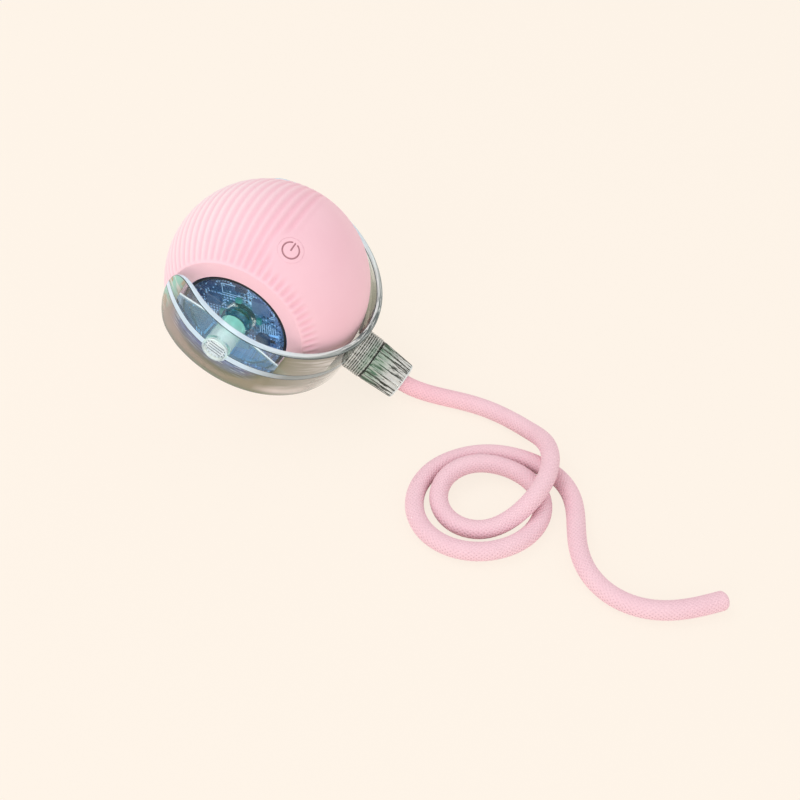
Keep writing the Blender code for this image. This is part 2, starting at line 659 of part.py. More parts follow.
def build_bush(name, frame):
    tube(name, PIVOT_PIN_RADIUS + RUN_GAP, PIVOT_POCKET_RADIUS - FIT_GAP,
         PIVOT_BOTTOM, WINDOW_FACE - FIT_GAP, frame, BRASS, 24)


def ring_point(radius, angle, across):
    """Point of the yoke: 0 degrees is the front pole, 90 the neck."""
    turn = math.radians(angle)
    flat = math.cos(turn) * FRONT_DIRECTION + math.sin(turn) * NECK_DIRECTION
    return CENTRE + radius * flat + across * WIDTH_DIRECTION


def yoke_half_width(distance):
    """Half the width of the band at a distance from its rounded end."""
    if distance >= YOKE_CORNER:
        return YOKE_HALF_WIDTH
    rest = YOKE_CORNER - distance
    return YOKE_HALF_WIDTH - YOKE_CORNER + math.sqrt(max(YOKE_CORNER ** 2 - rest ** 2, 0.0))


def build_yoke():
    span = 180.0 + 2 * YOKE_END_ANGLE
    corner_angle = math.degrees(YOKE_CORNER / YOKE_RADIUS)
    ends = [corner_angle * (1.0 - math.cos(math.radians(18.0 * step))) for step in range(5)]
    count = 28
    middle = [corner_angle + (span - 2 * corner_angle) * step / count for step in range(count + 1)]
    stations = ends + middle + [span - value for value in ends[::-1]]
    points = []
    rows = []
    for station in stations:
        distance = math.radians(min(station, span - station)) * YOKE_RADIUS
        half = yoke_half_width(distance)
        outside = YOKE_RADIUS - YOKE_TAPER * max(1.0 - distance / YOKE_TAPER_LENGTH, 0.0)
        angle = station - YOKE_END_ANGLE
        outline = (
            (YOKE_INNER, -half + YOKE_EDGE), (YOKE_INNER, half - YOKE_EDGE),
            (YOKE_INNER + YOKE_EDGE, half), (outside - YOKE_EDGE, half),
            (outside, half - YOKE_EDGE), (outside, -half + YOKE_EDGE),
            (outside - YOKE_EDGE, -half), (YOKE_INNER + YOKE_EDGE, -half),
        )
        rows.append(list(range(len(points), len(points) + len(outline))))
        points += [ring_point(radius, angle, across) for radius, across in outline]
    faces = [rows[0], rows[-1][::-1]]
    for row, following in zip(rows[:-1], rows[1:]):
        for step in range(len(row)):
            turn = (step + 1) % len(row)
            faces.append([row[step], row[turn], following[turn], following[step]])
    yoke = add_node("clear_yoke", points, faces, SMOKE)
    for frame in (FRONT, REAR):
        add_web(yoke, frame)
    for frame in (FRONT, REAR):
        hub = drum("hub", HUB_RADIUS, POLE_FLAT + FIT_GAP, HUB_REACH, frame, None, 24)
        boolean(yoke, hub, 'UNION')
        bore = ((0.0, POLE_FLAT), (PIVOT_PIN_RADIUS + FIT_GAP, POLE_FLAT),
                (PIVOT_PIN_RADIUS + FIT_GAP, HEAD_SEAT),
                (PIVOT_HEAD_RADIUS + RUN_GAP, HEAD_SEAT),
                (PIVOT_HEAD_RADIUS + RUN_GAP, HUB_REACH + FIT_GAP), (0.0, HUB_REACH + FIT_GAP))
        boolean(yoke, revolve("bore", bore, frame, None, 24), 'DIFFERENCE')
    add_neck(yoke)
    return yoke


def add_web(yoke, frame):
    """Flat stiffening web between the band and its chord, in the middle plane."""
    outer = YOKE_INNER + YOKE_THICKNESS / 2
    half = math.acos(WEB_CHORD / outer)
    outline = []
    for step in range(13):
        angle = half * (step / 6 - 1)
        outline.append((outer * math.sin(angle), outer * math.cos(angle)))
    plane = Matrix.Translation(CENTRE)
    facing = frame.to_3x3() @ Vector((0.0, 0.0, 1.0))
    rows = Matrix((NECK_DIRECTION, facing, NECK_DIRECTION.cross(facing))).transposed().to_4x4()
    web = prism("web", outline, -WEB_THICKNESS / 2, WEB_THICKNESS / 2, plane @ rows, None)
    boolean(yoke, web, 'UNION')


def add_neck(yoke):
    """Collar and threaded spigot, bored out for the clamped end of the tail."""
    ring = (COLLAR_END - YOKE_RADIUS) / 5
    collar = [(0.0, YOKE_INNER + YOKE_EDGE), (COLLAR_RADIUS, YOKE_INNER + YOKE_EDGE)]
    collar += [(COLLAR_RADIUS, COLLAR_END - ring), (COLLAR_RADIUS - YOKE_EDGE, COLLAR_END)]
    collar += [(SPIGOT_RADIUS, COLLAR_END)]
    turns = 4
    pitch = (SPIGOT_END - COLLAR_END) / (turns + 1)
    for turn in range(turns):
        start = COLLAR_END + (turn + 0.5) * pitch
        collar += [(SPIGOT_RADIUS, start), (SPIGOT_RADIUS - YOKE_EDGE, start + pitch / 2)]
    collar += [(SPIGOT_RADIUS, SPIGOT_END - pitch / 2), (SPIGOT_RADIUS - YOKE_EDGE, SPIGOT_END)]
    collar += [(0.0, SPIGOT_END)]
    boolean(yoke, revolve("collar", collar, NECK, None), 'UNION')
    bore = drum("bore", SPIGOT_BORE, SOCKET_FLOOR, SPIGOT_END + FIT_GAP, NECK, None, 24)
    boolean(yoke, bore, 'DIFFERENCE')


def build_pivot_pin(name, frame):
    """Pin with a notched head sunk in the hub."""
    count = 2 * HEAD_NOTCHES
    angles = [2 * math.pi * step / count for step in range(count)]
    notch = PIVOT_HEAD_RADIUS - YOKE_EDGE
    head = [notch if step % 2 else PIVOT_HEAD_RADIUS for step in range(count)]
    head_low = HEAD_SEAT + FIT_GAP
    levels = [(PIVOT_BOTTOM + FIT_GAP, 0.0), (PIVOT_BOTTOM + FIT_GAP, PIVOT_PIN_RADIUS),
              (head_low, PIVOT_PIN_RADIUS), (head_low, head), (HEAD_FACE, head),
              (HEAD_FACE, PIVOT_PIN_RADIUS), (HEAD_FACE - SLOT_DEPTH, PIVOT_PIN_RADIUS),
              (HEAD_FACE - SLOT_DEPTH, 0.0)]
    star_solid(name, angles, levels, frame, STEEL)


def build_cap():
    """Screw cap with long ribs, tapered towards the tail."""
    low = COLLAR_END + FIT_GAP
    count = 2 * CAP_RIBS
    angles = [2 * math.pi * step / count for step in range(count)]

    def ribbed(radius):
        return [radius - (CAP_RIB_DEPTH if step % 2 else 0.0) for step in range(count)]

    hole = ROPE_RADIUS + FIT_GAP + RUN_GAP
    hollow = SPIGOT_RADIUS + FIT_GAP
    levels = [(low, hollow), (low, CAP_BASE_RADIUS - CAP_CHAMFER),
              (low + CAP_CHAMFER, ribbed(CAP_BASE_RADIUS)),
              (CAP_END - CAP_CHAMFER, ribbed(CAP_END_RADIUS)),
              (CAP_END, CAP_END_RADIUS - CAP_CHAMFER), (CAP_END, hole),
              (CAP_END - CAP_WALL, hole), (CAP_END - CAP_WALL, hollow)]
    star_solid("tail_cap", angles, levels, NECK, SMOKE, NECK @ Vector((0.0, 0.0, low)))


def build_ferrule():
    inner = ROPE_RADIUS + FIT_GAP
    high = CAP_END - CAP_WALL - FIT_GAP
    profile = ((inner, FERRULE_START), (inner + FERRULE_THICKNESS, FERRULE_START),
               (inner + FERRULE_THICKNESS, high - FERRULE_FLANGE_THICKNESS),
               (FERRULE_FLANGE_RADIUS, high - FERRULE_FLANGE_THICKNESS),
               (FERRULE_FLANGE_RADIUS, high), (inner, high))
    revolve("tail_ferrule", profile, NECK, BRASS, 24)


def least_gap(points, step):
    """Least gap between two strands of the rope that are not neighbours."""
    spots = np.array(points)
    apart = np.linalg.norm(spots[:, None] - spots[None], axis=2)
    order = np.arange(len(spots))
    along = np.abs(order[:, None] - order[None]) * step
    return apart[along > NEIGHBOUR_REACH * ROPE_RADIUS].min() - 2 * ROPE_RADIUS


def build_rope():
    start = [NECK @ Vector((0.0, 0.0, FERRULE_START + FIT_GAP)),
             NECK @ Vector((0.0, 0.0, SPIGOT_END)), NECK @ Vector((0.0, 0.0, CAP_END))]
    route = [tuple(spot) for spot in start]
    for x, y, z in ROUTE_SHARES:
        route.append((x * ROUTE_STEP, y * ROUTE_STEP, z * ROUTE_STEP))
    points = natural_spline(route, ROPE_STEP)
    fine_step = ROPE_STEP / 6
    gap = least_gap(natural_spline(route, fine_step), fine_step)
    print("least gap of the rope to itself: %.2f mm" % (gap * 1000))
    curve = bpy.data.curves.new("tail_rope", 'CURVE')
    curve.dimensions = '3D'
    curve.bevel_depth = ROPE_RADIUS
    curve.bevel_resolution = 2
    curve.use_fill_caps = True
    line = curve.splines.new('POLY')
    line.points.add(len(points) - 1)
    origin = NECK @ Vector((0.0, 0.0, CAP_END))
    for spot, point in zip(line.points, points):
        spot.co = (*(point - origin), 1.0)
    curve.materials.append(surface_material("tail_rope", *ROPE_PINK))
    rope = bpy.data.objects.new("tail_rope", curve)
    rope.location = origin
    bpy.context.scene.collection.objects.link(rope)


def build_button():
    origin = BUTTON @ Vector((0.0, 0.0, SLEEVE_INNER))
    low = SHELL_OUTER + BUTTON_TRAVEL + RUN_GAP
    rise = BALL_RADIUS - math.sqrt(BALL_RADIUS ** 2 - BUTTON_RADIUS ** 2)
    profile = ((0.0, BUTTON_STEM_END), (BUTTON_STEM_RADIUS, BUTTON_STEM_END),
               (BUTTON_STEM_RADIUS, low), (BUTTON_RADIUS, low),
               (BUTTON_RADIUS, BALL_RADIUS - rise - BUTTON_EDGE),
               (BUTTON_RADIUS - BUTTON_EDGE, BALL_RADIUS - rise),
               (BUTTON_RADIUS / 2, BALL_RADIUS - rise / 4), (0.0, BALL_RADIUS))
    revolve("power_button", profile, BUTTON, PINK, 24, origin)
    body_low = SWITCH_TOP - SWITCH_PLUNGER_HEIGHT - SWITCH_SIZE[2]
    middle = BUTTON @ Matrix.Translation((0.0, 0.0, body_low + SWITCH_SIZE[2] / 2))
    switch = block("button_switch", SWITCH_SIZE, middle, CHIP_BLACK, FIT_GAP)
    plunger = drum("plunger", SWITCH_PLUNGER_RADIUS, body_low + FIT_GAP, SWITCH_TOP, BUTTON,
                   None, 16)
    boolean(switch, plunger, 'UNION')
    board_high = body_low - FIT_GAP
    board_low = board_high - BUTTON_BOARD_THICKNESS
    drum("button_board", BUTTON_BOARD_RADIUS, board_low, board_high, BUTTON, BOARD_BLUE, 24)
    return board_low - FIT_GAP


def build_post(height):
    """Post from the chassis, its top cut to the slope of the button board."""
    foot = BUTTON_DIRECTION * height
    centre_x, centre_z = foot.x, foot.z
    low = CHASSIS_LOW - FIT_GAP
    steps = 16
    points = []
    for end in range(2):
        for step in range(steps):
            angle = 2 * math.pi * step / steps
            x = centre_x + POST_RADIUS * math.cos(angle)
            z = centre_z + POST_RADIUS * math.sin(angle)
            y = low
            if end:
                y = (BUTTON_DIRECTION.x * x + BUTTON_DIRECTION.z * z - height)
                y = y / -BUTTON_DIRECTION.y
            points.append(CENTRE + Vector((x, y, z)))
    faces = [list(range(steps)), list(range(steps, 2 * steps))[::-1]]
    for step in range(steps):
        turn = (step + 1) % steps
        faces.append([step, turn, steps + turn, steps + step])
    add_node("button_post", points, faces, FRAME_GREY)


def gear_places():
    """Clock angle and distance of the idler, from the three pitch circles."""
    to_output = GEAR_MODULE * (PINION_TEETH + OUTPUT_TEETH) / 2
    to_motor = GEAR_MODULE * (PINION_TEETH + IDLER_TEETH) / 2
    share = (MOTOR_DISTANCE ** 2 + to_output ** 2 - to_motor ** 2)
    between = math.degrees(math.acos(share / (2 * MOTOR_DISTANCE * to_output)))
    return to_output, MOTOR_CLOCK + between


def heading(start, end):
    """Angle in the axle frame of the way from one shaft to another."""
    way = REAR.inverted().to_3x3() @ (end - start)
    return math.atan2(way.y, way.x)


def build_drive():
    idler_distance, idler_clock = gear_places()
    motor_frame = axle_frame(MOTOR_DISTANCE, MOTOR_CLOCK)
    idler_frame = axle_frame(idler_distance, idler_clock)
    motor_spot = motor_frame.translation.copy()
    idler_spot = idler_frame.translation.copy()
    half = math.pi

    # Motor can, its end cap and the pinion on its shaft
    high = CHASSIS_LOW - FIT_GAP
    low = high - MOTOR_LENGTH
    pocket = high - MOTOR_CAP_LENGTH * 2
    can = ((0.0, low), (MOTOR_RADIUS, low), (MOTOR_RADIUS, high - YOKE_EDGE),
           (MOTOR_RADIUS - YOKE_EDGE, high), (MOTOR_SHAFT_RADIUS + RUN_GAP, high),
           (MOTOR_SHAFT_RADIUS + RUN_GAP, pocket), (0.0, pocket))
    revolve("drive_motor", can, motor_frame, STEEL, 24)
    drum("motor_end_cap", MOTOR_RADIUS - FIT_GAP, low - FIT_GAP - MOTOR_CAP_LENGTH,
         low - FIT_GAP, motor_frame, CHIP_BLACK, 24)
    phase = heading(motor_spot, idler_spot) + half / PINION_TEETH
    angles = sorted(tooth_corners(PINION_TEETH, phase))
    outline = gear_outline(angles, PINION_TEETH, phase)
    gear_top = GEAR_LOW + GEAR_FACE
    levels = [(pocket + RUN_GAP, 0.0), (pocket + RUN_GAP, MOTOR_SHAFT_RADIUS),
              (GEAR_LOW, MOTOR_SHAFT_RADIUS), (GEAR_LOW, outline), (gear_top, outline),
              (gear_top, 0.0)]
    star_solid("motor_pinion", angles, levels, motor_frame, BRASS, motor_spot)

    # Two-step idler gear on its pin
    big_phase = heading(idler_spot, motor_spot)
    small_phase = heading(idler_spot, CENTRE)
    angles = tooth_corners(IDLER_TEETH, big_phase) + tooth_corners(PINION_TEETH, small_phase)
    angles = sorted(set(round(angle, 6) for angle in angles))
    kept = [angles[0]]
    for angle in angles[1:]:
        if angle - kept[-1] > math.radians(MERGE_ANGLE):
            kept.append(angle)
    big = gear_outline(kept, IDLER_TEETH, big_phase)
    small = gear_outline(kept, PINION_TEETH, small_phase)
    bore = IDLER_PIN_RADIUS + RUN_GAP
    top = GEAR_HIGH + GEAR_FACE
    levels = [(GEAR_LOW, bore), (GEAR_LOW, big), (gear_top, big), (gear_top, small), (top, small),
              (top, bore)]
    star_solid("idler_gear", kept, levels, idler_frame, GEAR_CREAM, idler_spot)
    head_low = CHASSIS_LOW - FIT_GAP - PIN_HEAD_THICKNESS
    pin = ((0.0, head_low), (IDLER_PIN_RADIUS + PIN_HEAD_EXTRA, head_low),
           (IDLER_PIN_RADIUS + PIN_HEAD_EXTRA, CHASSIS_LOW - FIT_GAP),
           (IDLER_PIN_RADIUS, CHASSIS_LOW - FIT_GAP), (IDLER_PIN_RADIUS, GEAR_HIGH + GEAR_FACE),
           (0.0, GEAR_HIGH + GEAR_FACE))
    revolve("idler_pin", pin, idler_frame, STEEL, 16)

    # Output gear and the swinging weight on the fixed axle
    phase = heading(CENTRE, idler_spot) + half / OUTPUT_TEETH
    angles = sorted(tooth_corners(OUTPUT_TEETH, phase))
    outline = gear_outline(angles, OUTPUT_TEETH, phase)
    bore = AXLE_RADIUS + RUN_GAP
    levels = [(GEAR_HIGH, bore), (GEAR_HIGH, outline), (top, outline), (top, bore)]
    star_solid("output_gear", angles, levels, REAR, GEAR_CREAM)
    edge = math.radians(WEIGHT_ANGLE / 2)
    angles = [math.pi + angle for angle in [edge * (step / 10 - 1) for step in range(21)]]
    radii = [WEIGHT_RADIUS] * len(angles)
    for step in range(13):
        share = (step + 0.5) / 13
        angles.append(math.pi + edge + (2 * math.pi - 2 * edge) * share)
        radii.append(WEIGHT_HUB_RADIUS)
    levels = [(WEIGHT_LOW, bore), (WEIGHT_LOW, radii), (WEIGHT_HIGH, radii), (WEIGHT_HIGH, bore)]
    star_solid("swing_weight", angles, levels, REAR, STEEL)
    axle = ((0.0, head_low), (AXLE_HEAD_RADIUS, head_low),
            (AXLE_HEAD_RADIUS, CHASSIS_LOW - FIT_GAP),
            (AXLE_RADIUS, CHASSIS_LOW - FIT_GAP), (AXLE_RADIUS, AXLE_END), (0.0, AXLE_END))
    revolve("weight_axle", axle, REAR, STEEL, 24)
    clip_low = WEIGHT_HIGH + FIT_GAP
    tube("axle_clip", AXLE_RADIUS + RUN_GAP, CLIP_RADIUS, clip_low, clip_low + CLIP_THICKNESS,
         REAR, STEEL, 24)


def build_chassis():
    """Round plate across the middle that carries everything inside."""
    idler_distance, idler_clock = gear_places()
    plate = drum("chassis_plate", CHASSIS_RADIUS, CHASSIS_LOW, CHASSIS_TOP, REAR, FRAME_GREY,
                 FINE_STEPS)
    holes = [(0.0, 0.0, AXLE_RADIUS + FIT_GAP),
             (idler_distance, idler_clock, IDLER_PIN_RADIUS + FIT_GAP),
             (MOTOR_DISTANCE, MOTOR_CLOCK, MOTOR_SHAFT_RADIUS * 3)]
    for clock in SCREW_CLOCKS:
        holes.append((SCREW_CIRCLE, clock, SCREW_SHANK_RADIUS + FIT_GAP))
    for distance, clock, radius in holes:
        hole = drum("hole", radius, CHASSIS_LOW - FIT_GAP, CHASSIS_TOP + FIT_GAP,
                    axle_frame(distance, clock), None, 12)
        boolean(plate, hole, 'DIFFERENCE')
    for number, clock in enumerate(SCREW_CLOCKS, 1):
        frame = axle_frame(SCREW_CIRCLE, clock)
        low = CHASSIS_TOP + FIT_GAP
        tip = low - SCREW_LENGTH
        profile = ((0.0, tip), (SCREW_SHANK_RADIUS, tip), (SCREW_SHANK_RADIUS, low),
                   (SCREW_HEAD_RADIUS, low), (SCREW_HEAD_RADIUS, low + SCREW_HEAD_THICKNESS),
                   (0.0, low + SCREW_HEAD_THICKNESS))
        screw = revolve("chassis_screw_%d" % number, profile, frame, STEEL, 16)
        top = Matrix.Translation((0.0, 0.0, low + SCREW_HEAD_THICKNESS))
        slot = block("slot", (SCREW_HEAD_RADIUS * 3, SLOT_WIDTH, SLOT_DEPTH * 2), frame @ top, None)
        boolean(screw, slot, 'DIFFERENCE')
    for number, clock in enumerate(PILLAR_CLOCKS, 1):
        frame = axle_frame(PILLAR_CIRCLE, clock)
        top = -BOARD_BACK + FIT_GAP
        high = CHASSIS_LOW - FIT_GAP
        profile = ((0.0, high), (PILLAR_RADIUS, high), (PILLAR_RADIUS, top),
                   (PILLAR_PEG_RADIUS, top), (PILLAR_PEG_RADIUS, -BOARD_FACE), (0.0, -BOARD_FACE))
        revolve("board_pillar_%d" % number, profile, frame, BRASS, 12)


def on_board(name, size, shares, look, edge=0.0, reach=SHIELD_INNER):
    """A small part soldered on the face of the round board."""
    x, z = reach * shares[0], reach * shares[1]
    middle = CENTRE + Vector((x, -(BOARD_FACE + FIT_GAP + size[2] / 2), z))
    frame = frame_towards(FRONT_DIRECTION, Vector((1.0, 0.0, 0.0)), middle)
    return block(name, size, frame, look, edge)


def build_board_parts():
    on_board("control_chip", CONTROL_CHIP_SIZE, CONTROL_CHIP_SHARES, CHIP_BLACK, CHIP_EDGE)
    on_board("motor_driver_chip", DRIVER_CHIP_SIZE, DRIVER_CHIP_SHARES, CHIP_BLACK, CHIP_EDGE)
    on_board("motion_sensor", SENSOR_SIZE, SENSOR_SHARES, CHIP_BLACK, CHIP_EDGE)
    on_board("supply_coil", COIL_SIZE, COIL_SHARES, FRAME_GREY, COIL_EDGE)
    on_board("timing_crystal", CRYSTAL_SIZE, CRYSTAL_SHARES, BATTERY_SILVER, CRYSTAL_EDGE)
    flat = (LAMP_LENGTH, LAMP_WIDTH, LAMP_THICKNESS)
    upright = (LAMP_WIDTH, LAMP_LENGTH, LAMP_THICKNESS)
    ring = PIVOT_BOSS_RADIUS + LAMP_DISTANCE
    on_board("lamp_upper", flat, (0.0, 1.0), LAMP_TEAL, 0.0, ring)
    on_board("lamp_lower", flat, (0.0, -1.0), LAMP_TEAL, 0.0, ring)
    on_board("lamp_left", upright, (-1.0, 0.0), LAMP_TEAL, 0.0, ring)
    on_board("lamp_right", upright, (1.0, 0.0), LAMP_TEAL, 0.0, ring)
    on_board("battery_plug", PLUG_SIZE, PLUG_SHARES, SHELL_WHITE)


def build_board():
    board = drum("circuit_board", BOARD_RADIUS, BOARD_BACK, BOARD_FACE, FRONT, BOARD_BLUE,
                 FINE_STEPS)
    for clock in PILLAR_CLOCKS:
        hole = drum("hole", PILLAR_PEG_RADIUS + RUN_GAP, -BOARD_FACE - FIT_GAP,
                    -BOARD_BACK + FIT_GAP, axle_frame(PILLAR_CIRCLE, clock), None, 12)
        boolean(board, hole, 'DIFFERENCE')
    build_board_parts()
    tube("light_shield", SHIELD_INNER, SHIELD_OUTER, BOARD_FACE + FIT_GAP,
         WINDOW_FACE - WINDOW_SKIN - FIT_GAP, FRONT, FOAM_BLACK, FINE_STEPS)
    middle = CENTRE + Vector((-SOCKET_MOUTH + SOCKET_LENGTH / 2, socket_height(), 0.0))
    frame = frame_towards(Vector((-1.0, 0.0, 0.0)), REAR_DIRECTION, middle)
    size = (SOCKET_THICKNESS, SOCKET_WIDTH, SOCKET_LENGTH)
    socket = block("charging_socket", size, frame, STEEL, SOCKET_LIP * 2)
    inside = (size[0] - SOCKET_LIP * 2, size[1] - SOCKET_LIP * 2, size[2])
    shift = Matrix.Translation((0.0, 0.0, SOCKET_TONGUE))
    boolean(socket, block("hollow", inside, frame @ shift, None, SOCKET_LIP), 'DIFFERENCE')
    tongue = (size[0] / 5, size[1] * 3 / 4, size[2] - SOCKET_TONGUE)
    boolean(socket, block("tongue", tongue, frame, None), 'UNION')
    middle = Vector((0.0, -(BATTERY_FRONT + BATTERY_REAR) / 2, (BATTERY_TOP + BATTERY_BOTTOM) / 2))
    frame = frame_towards(REAR_DIRECTION, UP, CENTRE + middle)
    size = (BATTERY_TOP - BATTERY_BOTTOM, BATTERY_HALF_LENGTH * 2, BATTERY_FRONT - BATTERY_REAR)
    block("battery", size, frame, BATTERY_SILVER, BATTERY_EDGE)


clear_scene()
build_sleeve()
build_shells()
build_window("front_window", FRONT)
build_window("rear_window", REAR)
build_bush("front_pivot_bush", FRONT)
build_bush("rear_pivot_bush", REAR)
build_yoke()
build_pivot_pin("front_pivot_pin", FRONT)
build_pivot_pin("rear_pivot_pin", REAR)
build_cap()
build_ferrule()
build_rope()
build_post(build_button())
build_drive()
build_chassis()
build_board()
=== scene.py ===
# %% [markdown]
# # A self rolling cat ball
# A motor inside the ball swings a weight, so the ball rolls on its pole axis. A clear
# yoke holds both poles, and a screw cap on the yoke holds a knitted tail. Every piece is
# built in metres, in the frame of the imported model, so it goes where the model says.

import math

import bpy
import numpy as np
from mathutils import Matrix


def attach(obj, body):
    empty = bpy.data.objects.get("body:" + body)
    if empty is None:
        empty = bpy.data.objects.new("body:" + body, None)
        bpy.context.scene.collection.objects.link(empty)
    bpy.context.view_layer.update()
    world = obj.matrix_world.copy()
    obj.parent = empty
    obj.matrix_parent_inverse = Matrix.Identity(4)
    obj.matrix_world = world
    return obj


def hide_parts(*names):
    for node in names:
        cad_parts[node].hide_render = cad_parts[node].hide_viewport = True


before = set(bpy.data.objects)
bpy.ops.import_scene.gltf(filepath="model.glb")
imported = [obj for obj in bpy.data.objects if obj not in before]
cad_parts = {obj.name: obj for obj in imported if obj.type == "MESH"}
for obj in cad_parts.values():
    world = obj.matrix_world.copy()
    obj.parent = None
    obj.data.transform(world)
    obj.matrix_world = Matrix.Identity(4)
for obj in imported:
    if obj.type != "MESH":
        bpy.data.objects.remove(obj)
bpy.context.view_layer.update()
MM = 0.001

# %% [markdown]
# ## Camera
# The camera was found from the outline of the ball, the rims of the yoke and the tail:
# it looks down at 44 degrees from about a third of a metre away.

# %% Camera
CAMERA_PLACE = (128.98, -220.36, 226.67)
CAMERA_RIGHT = np.array((0.92299, 0.38483, 0.0))
CAMERA_UP = np.array((-0.26639, 0.63892, 0.72168))
CAMERA_BACK = np.array((0.27772, -0.66610, 0.69223))
SENSOR_WIDTH, LENS, CLIP_START = 36.0, 55.62, 0.01
camera = bpy.data.objects.new("camera", bpy.data.cameras.new("camera"))
camera.data.sensor_width = SENSOR_WIDTH
camera.data.lens = LENS
camera.data.clip_start = CLIP_START
turn = Matrix((CAMERA_RIGHT, CAMERA_UP, CAMERA_BACK)).transposed().to_4x4()
camera.matrix_world = Matrix.Translation([v * MM for v in CAMERA_PLACE]) @ turn
bpy.context.scene.collection.objects.link(camera)
bpy.context.scene.camera = camera
print("camera lens %.1f mm" % LENS)

# %% [markdown]
# ## Frames
# Four directions carry all the shapes: both poles, the neck of the yoke and the button.
# A frame is an origin with three axes, and `place` turns local numbers into points.

# %% Frames
CENTRE = np.array((0.0, 0.0, 26.45)) * MM
TILT = math.radians(30.3)
FRONT_AXIS = np.array((0.0, -1.0, 0.0))
NECK_AXIS = np.array((math.cos(TILT), 0.0, -math.sin(TILT)))
WIDTH_AXIS = np.array((math.sin(TILT), 0.0, math.cos(TILT)))
UP_AXIS = np.array((0.0, 0.0, 1.0))


def frame_towards(direction, side):
    """Rows x, y, z: z is the direction, x is the side made square to it."""
    z = direction / np.linalg.norm(direction)
    x = side - side.dot(z) * z
    x = x / np.linalg.norm(x)
    return np.array((x, np.cross(z, x), z))


def place(axes, x, y, z):
    """Point = centre + x times the first axis + y times the second + z times the third."""
    return CENTRE + (np.asarray(x)[..., None] * axes[0] + np.asarray(y)[..., None] * axes[1]
                     + np.asarray(z)[..., None] * axes[2])


FRONT = frame_towards(FRONT_AXIS, NECK_AXIS)
REAR = frame_towards(-FRONT_AXIS, NECK_AXIS)
NECK = frame_towards(NECK_AXIS, WIDTH_AXIS)
print("neck leaves at", np.round(NECK_AXIS, 3))

# %% [markdown]
# ## From a grid of points to a mesh
# Most pieces are rows of rings. Each row is closed, each row is joined to the next, and
# the ends are shut by a fan or, for a hollow ring, by joining the last row to the first.
# The enclosed volume tells whether the faces point outwards.

# %% From points to an object


def link(name, points, faces, corner_uv=None):
    """A new object from points in metres and faces, with a UV pair for each corner."""
    mesh = bpy.data.meshes.new(name)
    mesh.from_pydata(points.tolist(), [], faces)
    if corner_uv is not None:
        layer = mesh.uv_layers.new(name="around_along")
        layer.data.foreach_set("uv", corner_uv.astype(np.float32).ravel())
    mesh.update()
    piece = bpy.data.objects.new(name, mesh)
    bpy.context.scene.collection.objects.link(piece)
    return piece


def shade(piece, angle=35.0):
    """Smooth shading, with creases where two faces meet at more than the angle."""
    piece.data.shade_smooth()
    piece.data.set_sharp_from_angle(angle=math.radians(angle))
    return piece


# %% Rings


def ring_mesh(name, grid, joined=False, angle=35.0):
    """Faces run between point (row, column) and its neighbours, the columns going round.

    The signed volume is the sum of a . (b x c) / 6 over the triangles (a, b, c)."""
    rows, columns, _ = grid.shape
    index = np.arange(rows * columns).reshape(rows, columns)
    low, high = (index, np.roll(index, -1, axis=0)) if joined else (index[:-1], index[1:])
    quads = np.stack((low, np.roll(low, -1, 1), np.roll(high, -1, 1), high), -1).reshape(-1, 4)
    points = grid.reshape(-1, 3)
    row, column = np.divmod(np.arange(len(low) * columns), columns)
    u = np.stack((column, column + 1, column + 1, column), 1) / columns
    v = np.stack((row, row, row + 1, row + 1), 1) / max(len(low), 1)
    corner_uv = np.stack((u, v), -1).reshape(-1, 2)
    fans = np.empty((0, 3), dtype=int)
    if not joined:
        ends = np.array((grid[0].mean(axis=0), grid[-1].mean(axis=0)))
        points = np.concatenate((points, ends))
        first, last = index[0], index[-1]
        start = np.full(columns, rows * columns)
        fans = np.concatenate((np.stack((start, np.roll(first, -1), first), 1),
                               np.stack((start + 1, last, np.roll(last, -1)), 1)))
        fan_uv = np.zeros((2 * columns, 3, 2))
        fan_uv[columns:, :, 1] = 1.0
        corner_uv = np.concatenate((corner_uv, fan_uv.reshape(-1, 2)))
    triangles = np.concatenate((quads[:, :3], quads[:, [0, 2, 3]], fans))
    a, b, c = (points[triangles[:, k]] - CENTRE for k in range(3))
    volume = np.einsum("ij,ij->", a, np.cross(b, c)) / 6
    faces = quads.tolist() + fans.tolist()
    if volume < 0:
        faces = [face[::-1] for face in faces]
        quad_uv = corner_uv[:len(quads) * 4].reshape(-1, 4, 2)[:, ::-1].reshape(-1, 2)
        fan_uv = corner_uv[len(quads) * 4:].reshape(-1, 3, 2)[:, ::-1].reshape(-1, 2)
        corner_uv = np.concatenate((quad_uv, fan_uv))
    return shade(link(name, points, faces, corner_uv), angle)


# %% [markdown]
# ## Node tools
# A finish is a tree of nodes. It could be wired by hand in the shader editor, but trees
# written down can share their parts. `add` makes a node and links or sets its sockets,
# and `ramp` turns a measure into a share from 0 to 1.

# %% Numbers from nodes


def add(tree, kind, inputs=None, **settings):
    """A new node of a kind, with its settings and with its inputs by name or number."""
    node = tree.nodes.new(kind)
    for key, value in settings.items():
        setattr(node, key, value)
    for key, value in (inputs or {}).items():
        if isinstance(value, bpy.types.NodeSocket):
            tree.links.new(value, node.inputs[key])
        else:
            node.inputs[key].default_value = value
    return node


def calc(tree, operation, a, b=0.0, c=0.0):
    """The outcome of one operation of the Math node."""
    return add(tree, "ShaderNodeMath", {0: a, 1: b, 2: c}, operation=operation).outputs[0]


def product(tree, *shares):
    """All the shares multiplied: high only where each of them is high."""
    whole = shares[0]
    for share in shares[1:]:
        whole = calc(tree, 'MULTIPLY', whole, share)
    return whole


def ramp(tree, value, low, high):
    """A share that goes from 0 to 1 while the value goes from low to high."""
    node = add(tree, "ShaderNodeMapRange", {"Value": value, "From Min": low, "From Max": high})
    return node.outputs["Result"]


